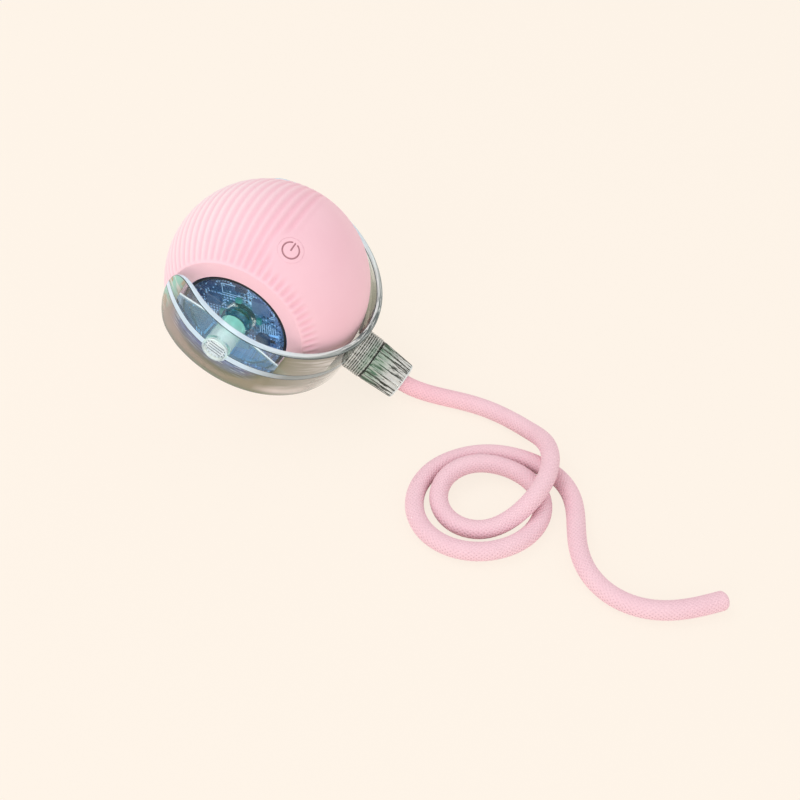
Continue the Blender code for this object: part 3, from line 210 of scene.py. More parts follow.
def noise(tree, spot, detail, rough=0.5, scale=1.0):
    """Cloud noise round 0.5, with waves about as long as 1 / scale."""
    return add(tree, "ShaderNodeTexNoise", {"Vector": spot, "Scale": scale, "Detail": detail,
                                            "Roughness": rough}).outputs["Fac"]


# %% [markdown]
# Colours are written as they look on the screen, from 0 to 255, and turned into the linear
# values that light adds up in. `lay` puts one colour over another, as strongly as several
# shares multiplied, like thin coats of paint through stencils.

# %% Colours


def srgb(red, green, blue):
    """Screen colour from 0 to 255, as the linear colour that a shader takes."""
    share = np.array((red, green, blue)) / 255.0
    linear = np.where(share > 0.04045, ((share + 0.055) / 1.055) ** 2.4, share / 12.92)
    return (*linear.tolist(), 1.0)


def mix(tree, share, low, high):
    """The low colour where the share is 0 and the high colour where it is 1."""
    node = add(tree, "ShaderNodeMix", {0: share, 6: low, 7: high}, data_type='RGBA')
    return node.outputs[2]


def lay(tree, under, over, *shares):
    """Lays a colour over another, as strongly as all the shares multiplied."""
    return mix(tree, product(tree, *shares), under, over)


print("half grey on the screen is %.3f in light" % srgb(128, 128, 128)[0])

# %% [markdown]
# A group is a part of a tree with a name, so that one grain can serve many finishes. It
# takes sockets in and gives numbers back. Coordinates of the object are metres of the
# model here, so a pattern doesn't stretch with the piece.

# %% Groups and materials


def new_group(name, inputs, outputs):
    """A node group with inputs of (name, kind, value) and outputs that are numbers."""
    tree = bpy.data.node_groups.new(name, 'ShaderNodeTree')
    for label, kind, value in inputs:
        socket = tree.interface.new_socket(label, in_out='INPUT', socket_type=kind)
        if value is not None:
            socket.default_value = value
    for label in outputs:
        tree.interface.new_socket(label, in_out='OUTPUT', socket_type='NodeSocketFloat')
    return tree, tree.nodes.new("NodeGroupInput").outputs, tree.nodes.new("NodeGroupOutput")


def use_group(tree, group, **inputs):
    """The outputs of a group placed in a tree. An underscore stands for a space in a name."""
    named = {key.replace("_", " "): value for key, value in inputs.items()}
    return add(tree, "ShaderNodeGroup", named, node_tree=group).outputs


def new_material(name, rough=0.5, metal=0.0):
    """A material, its tree and its Principled shader, with roughness and metalness."""
    material = bpy.data.materials.new(name)
    material.use_nodes = True
    tree = material.node_tree
    shader = tree.nodes["Principled BSDF"]
    shader.inputs["Roughness"].default_value = rough
    shader.inputs["Metallic"].default_value = metal
    return material, tree, shader


def object_place(tree):
    """Each point's place in metres, in the frame of the whole model."""
    return add(tree, "ShaderNodeTexCoord").outputs["Object"]


def bump(tree, shader, height, distance):
    """The distance is how far the height of 1 stands up, in metres."""
    node = add(tree, "ShaderNodeBump", {"Height": height, "Distance": distance,
                                        "Strength": 1.0})
    tree.links.new(node.outputs["Normal"], shader.inputs["Normal"])


# %% [markdown]
# ## Grain, used by most finishes
# Moulded plastic, rubber and metal all vary a little: broad cloudy patches, and a fine
# grain that only the light shows. One group gives both, at the scale each finish asks for.

# %% Grain group
GRAIN_LOW, GRAIN_HIGH, ROUGH_DRIFT = 0.3, 0.7, 0.12
grain_group, given, result = new_group(
    "grain", (("Place", 'NodeSocketVector', None), ("Patch Scale", 'NodeSocketFloat', 200.0),
              ("Grain Scale", 'NodeSocketFloat', 4000.0)), ("Patches", "Grain"))
for label, scale, detail in (("Patches", "Patch Scale", 3.0), ("Grain", "Grain Scale", 2.0)):
    cloud = noise(grain_group, given["Place"], detail, scale=given[scale])
    grain_group.links.new(ramp(grain_group, cloud, GRAIN_LOW, GRAIN_HIGH), result.inputs[label])


def grain_at(tree, patch, fine):
    """Patches and grain of the piece, with about as many waves to the metre."""
    return use_group(tree, grain_group, Place=object_place(tree), Patch_Scale=patch,
                     Grain_Scale=fine)


def grained(name, colour, second, rough, metal=0.0, patch=220.0, fine=4000.0, height=0.00001):
    """A finish whose colour and roughness drift between two values, with a fine bump."""
    material, tree, shader = new_material(name, rough, metal)
    grain = grain_at(tree, patch, fine)
    tree.links.new(mix(tree, grain["Patches"], colour, second), shader.inputs["Base Color"])
    drift = calc(tree, 'MULTIPLY_ADD', grain["Grain"], ROUGH_DRIFT, rough - ROUGH_DRIFT / 2)
    tree.links.new(drift, shader.inputs["Roughness"])
    bump(tree, shader, grain["Grain"], height)
    return material, tree, shader


print("groups:", [group.name for group in bpy.data.node_groups])

# %% [markdown]
# ## The tail
# The tail is a soft knitted cord, 4.6 mm thick. It could be a curve with a bevel, but then
# its stitches would be paint. Here it is a tube whose skin is lifted by the knit itself:
# strands cross it on both slants, and a small hole is left where neither slant is high.

# %% The route of the tail
NECK_SPOTS = (31.4, 39.5, 43.5)
ROUTE = (
    (47.19, 0.68, 2.47), (54.28, 1.19, 2.42), (61.39, 0.98, 2.42), (68.31, -0.54, 2.51),
    (74.56, -3.68, 3.71), (79.55, -8.26, 6.19), (82.87, -14.34, 7.74), (83.95, -21.32, 7.73),
    (82.74, -28.31, 6.78), (79.27, -33.91, 4.11), (73.72, -38.20, 2.64), (66.46, -38.27, 2.42),
    (61.35, -33.79, 2.90), (60.47, -27.27, 3.85), (64.00, -21.45, 4.40), (69.99, -18.12, 3.71),
    (76.87, -18.01, 2.79), (82.80, -21.66, 2.42), (85.55, -28.18, 2.42), (84.65, -35.16, 2.42),
    (80.72, -41.02, 2.42), (74.73, -44.77, 2.42), (67.72, -45.63, 2.42), (61.14, -43.11, 2.42),
    (56.60, -37.73, 2.42), (54.97, -30.86, 2.42), (56.39, -23.95, 2.42), (60.48, -18.19, 2.42),
    (66.34, -14.14, 2.42), (73.25, -12.48, 2.42), (80.31, -13.06, 2.42), (86.74, -15.93, 2.42),
    (91.31, -21.33, 2.42), (94.00, -27.90, 2.42), (96.56, -34.53, 2.42), (100.55, -40.39, 2.42),
    (106.36, -44.43, 2.42), (113.30, -45.69, 2.42), (120.17, -44.03, 2.42), (126.25, -40.36, 2.42),
    (131.75, -35.85, 2.42))
STEPS_BETWEEN = 80


def natural_curve(knots, count):
    """Evenly spaced points on a cubic curve whose bend changes steadily from knot to knot."""
    spans = np.linalg.norm(np.diff(knots, axis=0), axis=1)
    size = len(knots)
    inner = np.arange(1, size - 1)
    matrix = np.eye(size)
    matrix[inner, inner - 1] = spans[:-1]
    matrix[inner, inner] = 2 * (spans[:-1] + spans[1:])
    matrix[inner, inner + 1] = spans[1:]
    right = np.zeros_like(knots)
    right[1:-1] = 6 * np.diff(np.diff(knots, axis=0) / spans[:, None], axis=0)
    bend = np.linalg.solve(matrix, right)
    share = np.linspace(0.0, size - 1.0, STEPS_BETWEEN * (size - 1) + 1)
    at = np.minimum(share.astype(int), size - 2)
    far = (share - at)[:, None]
    near = 1 - far
    fine = near * knots[at] + far * knots[at + 1] + spans[at, None] ** 2 / 6 * (
        (near ** 3 - near) * bend[at] + (far ** 3 - far) * bend[at + 1])
    length = np.concatenate(([0.0], np.cumsum(np.linalg.norm(np.diff(fine, axis=0), axis=1))))
    spots = np.linspace(0.0, length[-1], count)
    return np.stack([np.interp(spots, length, fine[:, k]) for k in range(3)], 1), length[-1]


knots = np.concatenate(([place(NECK, 0.0, 0.0, spot * MM) for spot in NECK_SPOTS],
                        np.array(ROUTE) * MM))
TAIL_ROWS, TAIL_COLUMNS = 1160, 84
route, tail_length = natural_curve(knots, TAIL_ROWS)
print("tail length %.1f mm" % (tail_length / MM))

# %% [markdown]
# The tube follows the route with a side and an upward direction at every row. The height
# of the knit sets the radius at every point, and the last rows round off the bare end.

# %% The knitted tube
TAIL_RADIUS, STITCH_DEPTH = 2.28 * MM, 0.12 * MM
WALES, COURSE = 14, 1.1 * MM
TIP_LENGTH, TIP_SHARE, PATH_STEP = 1.6 * MM, 0.03, 8


def knit_height(around, along):
    """The larger of cos(a + b) and cos(a - b), brought to 0..1. The angle a counts the
    columns of stitches round the tube and b counts the rows along it."""
    a = 2 * math.pi * WALES * around
    b = 2 * math.pi * along / COURSE
    return 0.5 + 0.5 * np.maximum(np.cos(a + b), np.cos(a - b))


tangent = np.gradient(route, axis=0)
tangent /= np.linalg.norm(tangent, axis=1)[:, None]
side = np.cross(tangent, UP_AXIS)
side /= np.linalg.norm(side, axis=1)[:, None]
above = np.cross(side, tangent)
along = np.linspace(0.0, tail_length, TAIL_ROWS)
share = np.arange(TAIL_COLUMNS) / TAIL_COLUMNS
radius = TAIL_RADIUS - STITCH_DEPTH * (1 - knit_height(share[None], along[:, None]))
left = np.clip((tail_length - along) / TIP_LENGTH, 0.0, 1.0)
radius *= np.sqrt(np.clip(1 - (1 - left) ** 2, TIP_SHARE, 1.0))[:, None]
angle = 2 * math.pi * share
tube_grid = route[:, None] + radius[..., None] * (
    np.cos(angle)[None, :, None] * side[:, None] + np.sin(angle)[None, :, None] * above[:, None])


def settle(piece, body, *nodes, slot=None):
    """The piece rides on a body, and stands for the nodes that it replaces."""
    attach(piece, body)
    if nodes:
        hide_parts(*nodes)
    print("%s: %d faces" % (piece.name, len(piece.data.polygons)))


tail = ring_mesh("knitted_tail", tube_grid, angle=60.0)
settle(tail, "yoke", "tail_rope")

# %% [markdown]
# ## Finish of the tail
# Matt polyester yarn: pale pink where the yarn stands up, with painted shade in mauve in
# the holes between the strands. The pattern reads the tube's own UV map, so it follows
# every bend. The painted shade in the holes is darkest on the flanks and underneath, where
# the light can't reach in.

# %% Knit group
knit_group, given, result = new_group(
    "knit", (("Place", 'NodeSocketVector', None), ("Columns", 'NodeSocketFloat', 12.0),
             ("Rows", 'NodeSocketFloat', 300.0)), ("Height", "Hole", "Flank"))
uv_parts = add(knit_group, "ShaderNodeSeparateXYZ", {0: given["Place"]}).outputs
around = calc(knit_group, 'MULTIPLY', uv_parts[0], given["Columns"])
rows_along = calc(knit_group, 'MULTIPLY', uv_parts[1], given["Rows"])
slants = []
for operation in ('ADD', 'SUBTRACT'):
    turns = calc(knit_group, operation, around, rows_along)
    slants.append(calc(knit_group, 'COSINE', calc(knit_group, 'MULTIPLY', turns, 2 * math.pi)))
height = calc(knit_group, 'MULTIPLY_ADD', calc(knit_group, 'MAXIMUM', *slants), 0.5, 0.5)
upward = calc(knit_group, 'SINE', calc(knit_group, 'MULTIPLY', uv_parts[0], 2 * math.pi))
for label, value in (("Height", height), ("Hole", ramp(knit_group, height, 0.42, 0.1)),
                     ("Flank", ramp(knit_group, upward, 0.85, -0.3))):
    knit_group.links.new(value, result.inputs[label])
print("knit group gives:", [socket.name for socket in result.inputs[:3]])

# %% Tail finish
yarn, tree, shader = new_material("pink_yarn", 0.92)
uv_place = add(tree, "ShaderNodeTexCoord").outputs["UV"]
knit = use_group(tree, knit_group, Place=uv_place, Columns=float(WALES),
                 Rows=float(tail_length / COURSE))
grain = grain_at(tree, 90.0, 5200.0)
pale = mix(tree, grain["Patches"], srgb(243, 203, 212), srgb(239, 195, 206))
from_cap = ramp(tree, add(tree, "ShaderNodeSeparateXYZ", {0: uv_place}).outputs[1], 0.05, 0.12)
yarn_colour = mix(tree, from_cap, srgb(251, 195, 206), pale)
fibre = lay(tree, yarn_colour, srgb(253, 229, 234), grain["Grain"], 0.3)
# painted shade: mauve laid in the knit holes, stronger away from the top of the tube
strength = calc(tree, 'MULTIPLY_ADD', knit["Flank"], 0.5, 0.12)
uneven = calc(tree, 'MULTIPLY_ADD', grain["Grain"], 0.7, 0.65)
shaded = lay(tree, fibre, srgb(150, 92, 112), knit["Hole"], strength, uneven)
tree.links.new(shaded, shader.inputs["Base Color"])
shader.inputs["Sheen Weight"].default_value = 0.2
shader.inputs["Sheen Roughness"].default_value = 0.4
bump(tree, shader, calc(tree, 'MULTIPLY_ADD', grain["Grain"], 0.5, knit["Height"]), 0.00005)
tail.data.materials.append(yarn)
print("tail finish: %d rows of stitches" % (tail_length / COURSE))

# %% [markdown]
# ## Profiles, turned shapes and cuts
# Hubs, windows, pins and the hole for the button are round, as if turned on a lathe. The
# Spin tool could turn them too. Here a profile of radius and height pairs is turned with a
# cosine and a sine, so it becomes rings like all the rest. Moulded edges are never quite
# sharp, so `rounded` swaps each corner of a profile for a short curve.

# %% Rounded profiles


def rounded(profile, radius, steps=4, ring=False):
    """Each corner becomes a short curve (1-t)^2 A + 2t(1-t) C + t^2 B, where A and B lie
    on its two edges, the radius away from the corner C, or at most 45% of the edge."""
    points = np.array(profile, dtype=float)
    before, after = np.roll(points, 1, axis=0), np.roll(points, -1, axis=0)

    def towards(other):
        span = other - points
        length = np.maximum(np.linalg.norm(span, axis=1), 1e-9)[:, None]
        return points + span / length * np.minimum(radius, 0.45 * length)

    a, b = towards(before), towards(after)
    t = np.linspace(0.0, 1.0, steps)[None, :, None]
    curves = (1 - t) ** 2 * a[:, None] + 2 * t * (1 - t) * points[:, None] + t ** 2 * b[:, None]
    if ring:
        return curves.reshape(-1, 2)
    return np.concatenate((points[:1], curves[1:-1].reshape(-1, 2), points[-1:]))


print("a corner becomes", len(rounded(((0, 0), (1, 0), (1, 1)), 0.2)) - 2, "points")

# %% Turned shapes


def turned(axes, radius, around, level):
    """Rings round an axis, in millimetres: x = radius cos, y = radius sin, z = level."""
    radius, around, level = np.broadcast_arrays(radius, around, level)
    return place(axes, radius * np.cos(around) * MM, radius * np.sin(around) * MM, level * MM)


def full_turn(steps):
    """Angles that go once round, without the last one that would repeat the first."""
    return np.linspace(0.0, 2 * math.pi, steps, endpoint=False)


def lathe(name, profile, axes, steps=128, ring=False, angle=35.0):
    """Turns a profile of (radius, height) pairs once round the axis."""
    profile = np.array(profile, dtype=float)
    grid = turned(axes, profile[:, :1], full_turn(steps), profile[:, 1:])
    return ring_mesh(name, grid, ring, angle)


print("a turned shape has a column every %.2f degrees" % math.degrees(full_turn(128)[1]))

# %% [markdown]
# Holes are cut, and the parts of one moulding are joined, with the exact boolean: a mould
# leaves no overlap either. Some depths are kept as a number at each point, so the colour
# of a groove or a mark can follow the shape.

# %% Cuts and stored numbers


def join_or_cut(piece, tool, operation):
    """Boolean with another closed shape, which is used up."""
    modifier = piece.modifiers.new("shape", 'BOOLEAN')
    modifier.object, modifier.operation, modifier.solver = tool, operation, 'EXACT'
    bpy.context.view_layer.update()
    graph = bpy.context.evaluated_depsgraph_get()
    result = bpy.data.meshes.new_from_object(piece.evaluated_get(graph))
    piece.modifiers.clear()
    old, piece.data = piece.data, result
    result.name = piece.name
    bpy.data.meshes.remove(old)
    bpy.data.objects.remove(tool, do_unlink=True)


def store(piece, name, values, start=0):
    """Keeps a number for each point from the start on, and 0 for the others, for the
    material to read."""
    whole = np.zeros(len(piece.data.vertices), dtype=np.float32)
    whole[start:start + values.size] = values.ravel()
    piece.data.attributes.new(name, 'FLOAT', 'POINT').data.foreach_set("value", whole)


# %% [markdown]
# ## The silicone sleeve
# The sleeve is one soft skin over both halves of the ball. Sixty-six soft waves run from
# pole to pole. They start at the flat ring round the window and die out beside the
# button, where the skin is smooth. They could be painted as a bump, but they show in the
# outline, so the skin is a true surface: a function of two angles, polar and clock.

# %% The waves of the sleeve
BALL_RADIUS, SLEEVE_INNER, RIDGE_DEPTH = 26.6 * MM, 24.9 * MM, 0.36 * MM
RIM_POLAR, RIM_FADE, RIDGES = 44.88, 3.0, 66
SMOOTH_CLOCK, SMOOTH_HALF, SMOOTH_FADE = 68.0, 36.0, 8.0
SMOOTH_POLAR, POLAR_FADE = 56.0, 6.0
BUTTON_CLOCK, BUTTON_POLAR, BUTTON_HOLE = 31.75, 67.9, 3.3


def ease(share):
    """Smooth step: 3 s^2 - 2 s^3 between 0 and 1."""
    share = np.clip(share, 0.0, 1.0)
    return share * share * (3 - 2 * share)


def pole_direction(polar, clock):
    """Direction from the middle: polar from the front pole, clock from up towards the neck."""
    polar, clock = np.radians(polar), np.radians(clock)
    return np.stack((np.sin(polar) * np.sin(clock), -np.cos(polar) + 0.0 * clock,
                     np.sin(polar) * np.cos(clock)), -1)


def ridge_share(polar, clock):
    """How strong the waves are: they fade at the rim, beside the button and at the foot."""
    edge = np.minimum(polar, 180.0 - polar)
    strength = ease((edge - RIM_POLAR) / RIM_FADE)
    away = np.abs((clock - SMOOTH_CLOCK + 180.0) % 360.0 - 180.0)
    strength = strength * np.maximum(ease((away - SMOOTH_HALF) / SMOOTH_FADE),
                                     ease((SMOOTH_POLAR - edge) / POLAR_FADE))
    spot = pole_direction(polar, clock)
    pad = BUTTON_HOLE * MM / BALL_RADIUS
    for target, start in ((pole_direction(BUTTON_POLAR, BUTTON_CLOCK), 1.0),
                          (np.array((0.0, 0.0, -1.0)), 2.0)):
        angle = np.arccos(np.clip(spot @ target, -1.0, 1.0))
        strength = strength * ease((angle - start * pad) / pad)
    return strength


print("waves: %d, one every %.2f degrees" % (RIDGES, 360.0 / RIDGES))

# %% [markdown]
# The closed section of the sleeve runs over the skin, down the flat ring at one pole, back
# along the inside and up the other flat ring. The foot of the skin is cut level with the
# floor, and the rows of the skin crowd towards its rims.

# %% Sleeve
SLEEVE_COLUMNS, SKIN_ROWS, CROWDING, INNER_ROWS = 660, 61, 1.25, 17
FLAT_RIM, POLE_FLAT, OPENING = 17.9, 18.85, 14.6
INNER_RIM, FLAT_INNER, EDGE_ROUND = 16.4, 17.45, 0.35
clock = 360.0 * np.arange(SLEEVE_COLUMNS) / SLEEVE_COLUMNS
share = np.linspace(-1.0, 1.0, SKIN_ROWS)
share = np.sign(share) * (1 - (1 - np.abs(share)) ** CROWDING)
polar = 90.0 + share * (90.0 - RIM_POLAR)
polar_grid, clock_grid = np.meshgrid(polar, clock, indexing="ij")
groove = ridge_share(polar_grid, clock_grid) * (1 - np.cos(np.radians(clock_grid * RIDGES))) / 2
skin = pole_direction(polar_grid, clock_grid) * (BALL_RADIUS - RIDGE_DEPTH * groove)[..., None]
skin[..., 2] = np.maximum(skin[..., 2], -CENTRE[2])
inner_angle = math.degrees(math.asin(FLAT_INNER * MM / SLEEVE_INNER))
inner_polar = 90.0 + np.linspace(1.0, -1.0, INNER_ROWS) * inner_angle
inner_skin = pole_direction(*np.meshgrid(inner_polar, clock, indexing="ij")) * SLEEVE_INNER
edge_profile = rounded(((FLAT_RIM, POLE_FLAT), (OPENING, POLE_FLAT), (OPENING, FLAT_INNER),
                        (INNER_RIM, FLAT_INNER)), EDGE_ROUND)
disc = pole_direction(90.0, clock)


def flat_rows(profile, sign):
    """Rows of the flat ring round a window: radius out, height along the pole axis."""
    radius, height = profile[:, :1, None] * MM, profile[:, 1:, None] * MM
    return disc[None] * radius + np.array((0.0, sign, 0.0)) * height


sleeve_grid = CENTRE + np.concatenate(
    (skin, flat_rows(edge_profile, 1.0), inner_skin, flat_rows(edge_profile[::-1], -1.0)))
sleeve = ring_mesh("ridged_sleeve", sleeve_grid, joined=True, angle=32.0)
store(sleeve, "groove", groove)
BUTTON = frame_towards(pole_direction(BUTTON_POLAR, BUTTON_CLOCK), FRONT_AXIS)
hole = lathe("hole", ((BUTTON_HOLE, 24.0), (BUTTON_HOLE, 27.5)), BUTTON, 96)
join_or_cut(sleeve, hole, 'DIFFERENCE')
shade(sleeve, 32.0)
settle(sleeve, "ball", "silicone_sleeve")

# %% [markdown]
# ## Finish of the silicone
# Matt silicone. The grooves carry painted shade, a little deeper in colour than the
# crests; the flat ring round the window is a brighter pink, partly painted light; and the
# side that faces up and to the left is painted paler, as painted light.

# %% Silicone finish
PAINTED_LIGHT_WAY = (-0.78, 0.05, 0.62)
PAINTED_LIGHT_START, PAINTED_LIGHT_FULL = 8.0 * MM, 27.0 * MM
RING_START, RING_FULL = 18.0 * MM, 18.8 * MM


def along_axis(tree, spot, axis):
    """How far each point lies along an axis: the dot product of the two."""
    return add(tree, "ShaderNodeVectorMath", {0: spot, 1: tuple(axis)},
               operation='DOT_PRODUCT').outputs["Value"]


def base_colour(shader):
    """The socket that feeds the base colour, so that more can be laid over it."""
    return shader.inputs["Base Color"].links[0].from_socket


def silicone(name, ridged):
    """The pink finish, painted paler up and to the left as painted light. A ridged piece also
    gets painted shade in its grooves and the brighter pink of its flat rings.
    """
    material, tree, shader = grained(name, srgb(249, 204, 215), srgb(246, 198, 210), 0.62,
                                     patch=60.0, fine=9000.0, height=0.000004)
    spot = object_place(tree)
    # painted light: a pale colour laid over the side that faces up and to the left
    middle = float(np.dot(PAINTED_LIGHT_WAY, CENTRE))
    painted_light = ramp(tree, along_axis(tree, spot, PAINTED_LIGHT_WAY), middle + PAINTED_LIGHT_START,
                 middle + PAINTED_LIGHT_FULL)
    colour = lay(tree, base_colour(shader), srgb(250, 233, 235), painted_light, 0.95)
    if ridged:
        # painted shade: the grooves are laid a deeper pink than the crests
        depth = add(tree, "ShaderNodeAttribute", attribute_name="groove").outputs["Fac"]
        colour = lay(tree, colour, srgb(241, 176, 193), depth, 0.5)
        # the flat ring is a brighter pink, partly its own colour and partly painted light that
        # makes up for the lamp light it misses
        height = calc(tree, 'ABSOLUTE', add(tree, "ShaderNodeSeparateXYZ", {0: spot}).outputs[1])
        ring = ramp(tree, height, RING_START, RING_FULL)
        colour = lay(tree, colour, srgb(255, 206, 217), ring, 0.8)
    tree.links.new(colour, shader.inputs["Base Color"])
    shader.inputs["Sheen Weight"].default_value = 0.12
    shader.inputs["Sheen Roughness"].default_value = 0.5
    return material


sleeve.data.materials.append(silicone("pink_silicone", True))
print("sleeve: %d waves, %.2f mm deep" % (RIDGES, RIDGE_DEPTH / MM))

# %% [markdown]
# ## The power button
# A round pad in the skin with the usual power mark pressed into it: an open ring with a
# stroke in its gap. The mark is part of the surface: the pad sinks where the distance to
# the ring or the stroke is smaller than half the line's width. The stroke points as it
# does in the picture, 58 degrees up from the right.

# %% The power mark
MARK_ANGLE, MARK_RING, MARK_GAP = math.radians(58.0), 2.1, math.radians(21.0)
MARK_HALF, MARK_WALL = 0.12, 0.14
image_way = math.cos(MARK_ANGLE) * CAMERA_RIGHT + math.sin(MARK_ANGLE) * CAMERA_UP
image_way = image_way - CAMERA_BACK * (image_way @ BUTTON[2]) / (CAMERA_BACK @ BUTTON[2])
stroke = np.array((image_way @ BUTTON[0], image_way @ BUTTON[1]))
stroke /= np.linalg.norm(stroke)


def mark_depth(x, y):
    """1 inside the power mark and 0 outside, with soft walls; x and y in millimetres."""
    ahead = x * stroke[0] + y * stroke[1]
    aside = -x * stroke[1] + y * stroke[0]
    ring = np.abs(np.hypot(x, y) - MARK_RING)
    gap = np.abs(np.arctan2(aside, ahead)) < MARK_GAP
    ring = np.where(gap, np.hypot(ahead - MARK_RING * math.cos(MARK_GAP),
                                  np.abs(aside) - MARK_RING * math.sin(MARK_GAP)), ring)
    line = np.hypot(ahead - np.clip(ahead, 0.0, MARK_RING), aside)
    return 1 - ease((np.minimum(ring, line) - MARK_HALF) / MARK_WALL)


print("the stroke points along", np.round(stroke, 2), "on the pad")

# %% [markdown]
# The pad continues the curve of the ball, so its crown is a part of the same sphere. A
# stem under it reaches the switch. Cutting the mark with a boolean would leave hard walls,
# and the real one is moulded soft, so the mark only lowers the points of the crown.

# %% Button
PAD_RADIUS, PAD_EDGE, PAD_FOOT, MARK_DEPTH = 3.27, 3.06, 25.4, 0.22
STEM_RADIUS, STEM_END = 1.6, 22.1
radius = np.concatenate((np.linspace(0.02, PAD_EDGE, 76), (3.16, 3.24, PAD_RADIUS)))[:, None]
around = full_turn(240)
depth = mark_depth(radius * np.cos(around), radius * np.sin(around))
crown = np.sqrt((BALL_RADIUS / MM) ** 2 - radius ** 2) - 0.05 * ease((radius - PAD_EDGE) / 0.2)
top = turned(BUTTON, radius, around, crown - MARK_DEPTH * depth)
skirt = np.array(((PAD_RADIUS, 26.0), (PAD_RADIUS, PAD_FOOT), (STEM_RADIUS, PAD_FOOT),
                  (STEM_RADIUS, STEM_END), (0.05, STEM_END)))
rows = turned(BUTTON, skirt[:, :1], around, skirt[:, 1:])
button = ring_mesh("power_pad", np.concatenate((top, rows)), angle=50.0)
store(button, "mark", depth)
settle(button, "button", "power_button")

# %% Button finish
pad_finish = silicone("button_silicone", False)
tree = pad_finish.node_tree
shader = tree.nodes["Principled BSDF"]
mark = add(tree, "ShaderNodeAttribute", attribute_name="mark").outputs["Fac"]
tree.links.new(lay(tree, base_colour(shader), srgb(158, 102, 112), mark, 0.8),
               shader.inputs["Base Color"])
button.data.materials.append(pad_finish)
print("button finish:", pad_finish.name)

# %% [markdown]
# ## Where a point lies on the yoke
# Two groups serve the tints of the clear pieces. One says how far a point lies across the
# band, towards the neck, towards the front pole and out from the width axis. The other
# gives noise stretched along those ways, for painted streaks of reflected light and shade.

# %% Groups for the yoke
WAYS = ("Across", "Neckwards", "Polewards", "Outwards")
yoke_place, given, result = new_group("yoke_place", (("Place", 'NodeSocketVector', None),), WAYS)
ways = {}
for label, axis in zip(WAYS, (WIDTH_AXIS, NECK_AXIS, FRONT_AXIS)):
    far = along_axis(yoke_place, given["Place"], axis)
    away = calc(yoke_place, 'SUBTRACT', far, float(axis @ CENTRE))
    ways[label] = calc(yoke_place, 'DIVIDE', away, MM)
    yoke_place.links.new(ways[label], result.inputs[label])
squares = [calc(yoke_place, 'POWER', ways[label], 2.0) for label in ("Neckwards", "Polewards")]
yoke_place.links.new(calc(yoke_place, 'SQRT', calc(yoke_place, 'ADD', *squares)),
                     result.inputs["Outwards"])

# name: waves per millimetre along three ways, detail, roughness
STREAKS = (
    ("Reflection Streak", (("Across", 0.75), ("Neckwards", 0.1), ("Outwards", 1.6)), 3.0, 0.5),
    ("Split", (("Across", 1.1), ("Polewards", 0.16), ("Outwards", 3.2)), 3.0, 0.6),
    ("Glint", (("Across", 2.2), ("Neckwards", 0.2)), 2.0, 0.5))
painted_streak_group, given, result = new_group(
    "painted_streaks", [(way, 'NodeSocketFloat', 0.0) for way in WAYS],
    [label for label, *_ in STREAKS])
for label, stretch, detail, rough in STREAKS:
    scaled = [calc(painted_streak_group, 'MULTIPLY', given[way], waves) for way, waves in stretch]
    spot = add(painted_streak_group, "ShaderNodeCombineXYZ", dict(enumerate(scaled))).outputs[0]
    painted_streak_group.links.new(noise(painted_streak_group, spot, detail, rough), result.inputs[label])
print("groups for the yoke:", yoke_place.name, painted_streak_group.name)

# %% [markdown]
# ## Clear plastic
# Polycarbonate is a glass-like shader with a tint that deepens where the surface is seen
# edge on: painted dark edges, in place of the darker surroundings that clear plastic shows
# at a slant. Some pieces also get a glow of painted light. A plain glass shader would be
# simpler, but lamps would leave a clear shell dark inside, so here the rays from lamps pass
# through it.

# %% Clear plastic
LAMP_TINT = srgb(244, 246, 244)
EDGE_BLEND, EDGE_POWER, PLASTIC_DRIFT = 0.35, 2.5, 0.03
THIN_BEND, THIN_COAT = 1.4, 0.8


def light_up(shader, colour, strength):
    """Light of its own: the glow of a real lamp, or painted light for a piece that lamps or
    bright surroundings light through.
    """
    shader.inputs["Emission Color"].default_value = colour
    shader.inputs["Emission Strength"].default_value = strength


def blend_shaders(tree, share, first, second, output="Material Output"):
    """Shows the first shader where the share is 0 and the second where it is 1."""
    node = add(tree, "ShaderNodeMixShader", {0: share, 1: first, 2: second})
    tree.links.new(node.outputs[0], tree.nodes[output].inputs["Surface"])


def clear_plastic(name, tint, deep, rough=0.02, reach=0.4, clear=1.0, glow=0.0, paint=None,
                  bend=1.49):
    """`paint` takes the tree and the tint and gives back a tint that changes over the piece.
    A thin wall hardly shifts what is behind it: it bends light less and keeps a glossy coat."""
    material, tree, shader = new_material(name, rough)
    shader.inputs["Transmission Weight"].default_value = clear
    shader.inputs["IOR"].default_value = bend
    shader.inputs["Coat Weight"].default_value = 0.0 if bend > THIN_BEND else THIN_COAT
    # painted dark edges: the deep tint comes in where the surface is seen edge on
    facing = add(tree, "ShaderNodeLayerWeight", {"Blend": EDGE_BLEND}).outputs["Facing"]
    share = calc(tree, 'MULTIPLY', calc(tree, 'POWER', facing, EDGE_POWER), reach)
    colour = paint(tree, tint) if paint else tint
    tree.links.new(mix(tree, share, colour, deep), shader.inputs["Base Color"])
    drift = calc(tree, 'MULTIPLY_ADD', grain_at(tree, 160.0, 1500.0)["Patches"], PLASTIC_DRIFT,
                 rough)
    tree.links.new(drift, shader.inputs["Roughness"])
    # painted light: a glow in the piece's own tint, as strong as `glow`
    light_up(shader, tint, glow)
    shadow_ray = add(tree, "ShaderNodeLightPath").outputs["Is Shadow Ray"]
    through = add(tree, "ShaderNodeBsdfTransparent", {"Color": LAMP_TINT})
    blend_shaders(tree, shadow_ray, shader.outputs[0], through.outputs[0])
    return material


def along_band(tree):
    """Where a point lies on the yoke, and the noise for painted streaks of reflection there."""
    spot = use_group(tree, yoke_place, Place=object_place(tree))
    return spot, use_group(tree, painted_streak_group, **{way: spot[way] for way in WAYS})


def broken_streaks(tree, under, split, *shares):
    """Fine black and white streaks of painted reflection, as strong as all the shares multiplied.
    """
    dark = lay(tree, under, srgb(44, 48, 38), ramp(tree, split, 0.5, 0.46), *shares)
    return lay(tree, dark, srgb(250, 252, 248), ramp(tree, split, 0.52, 0.57), *shares)
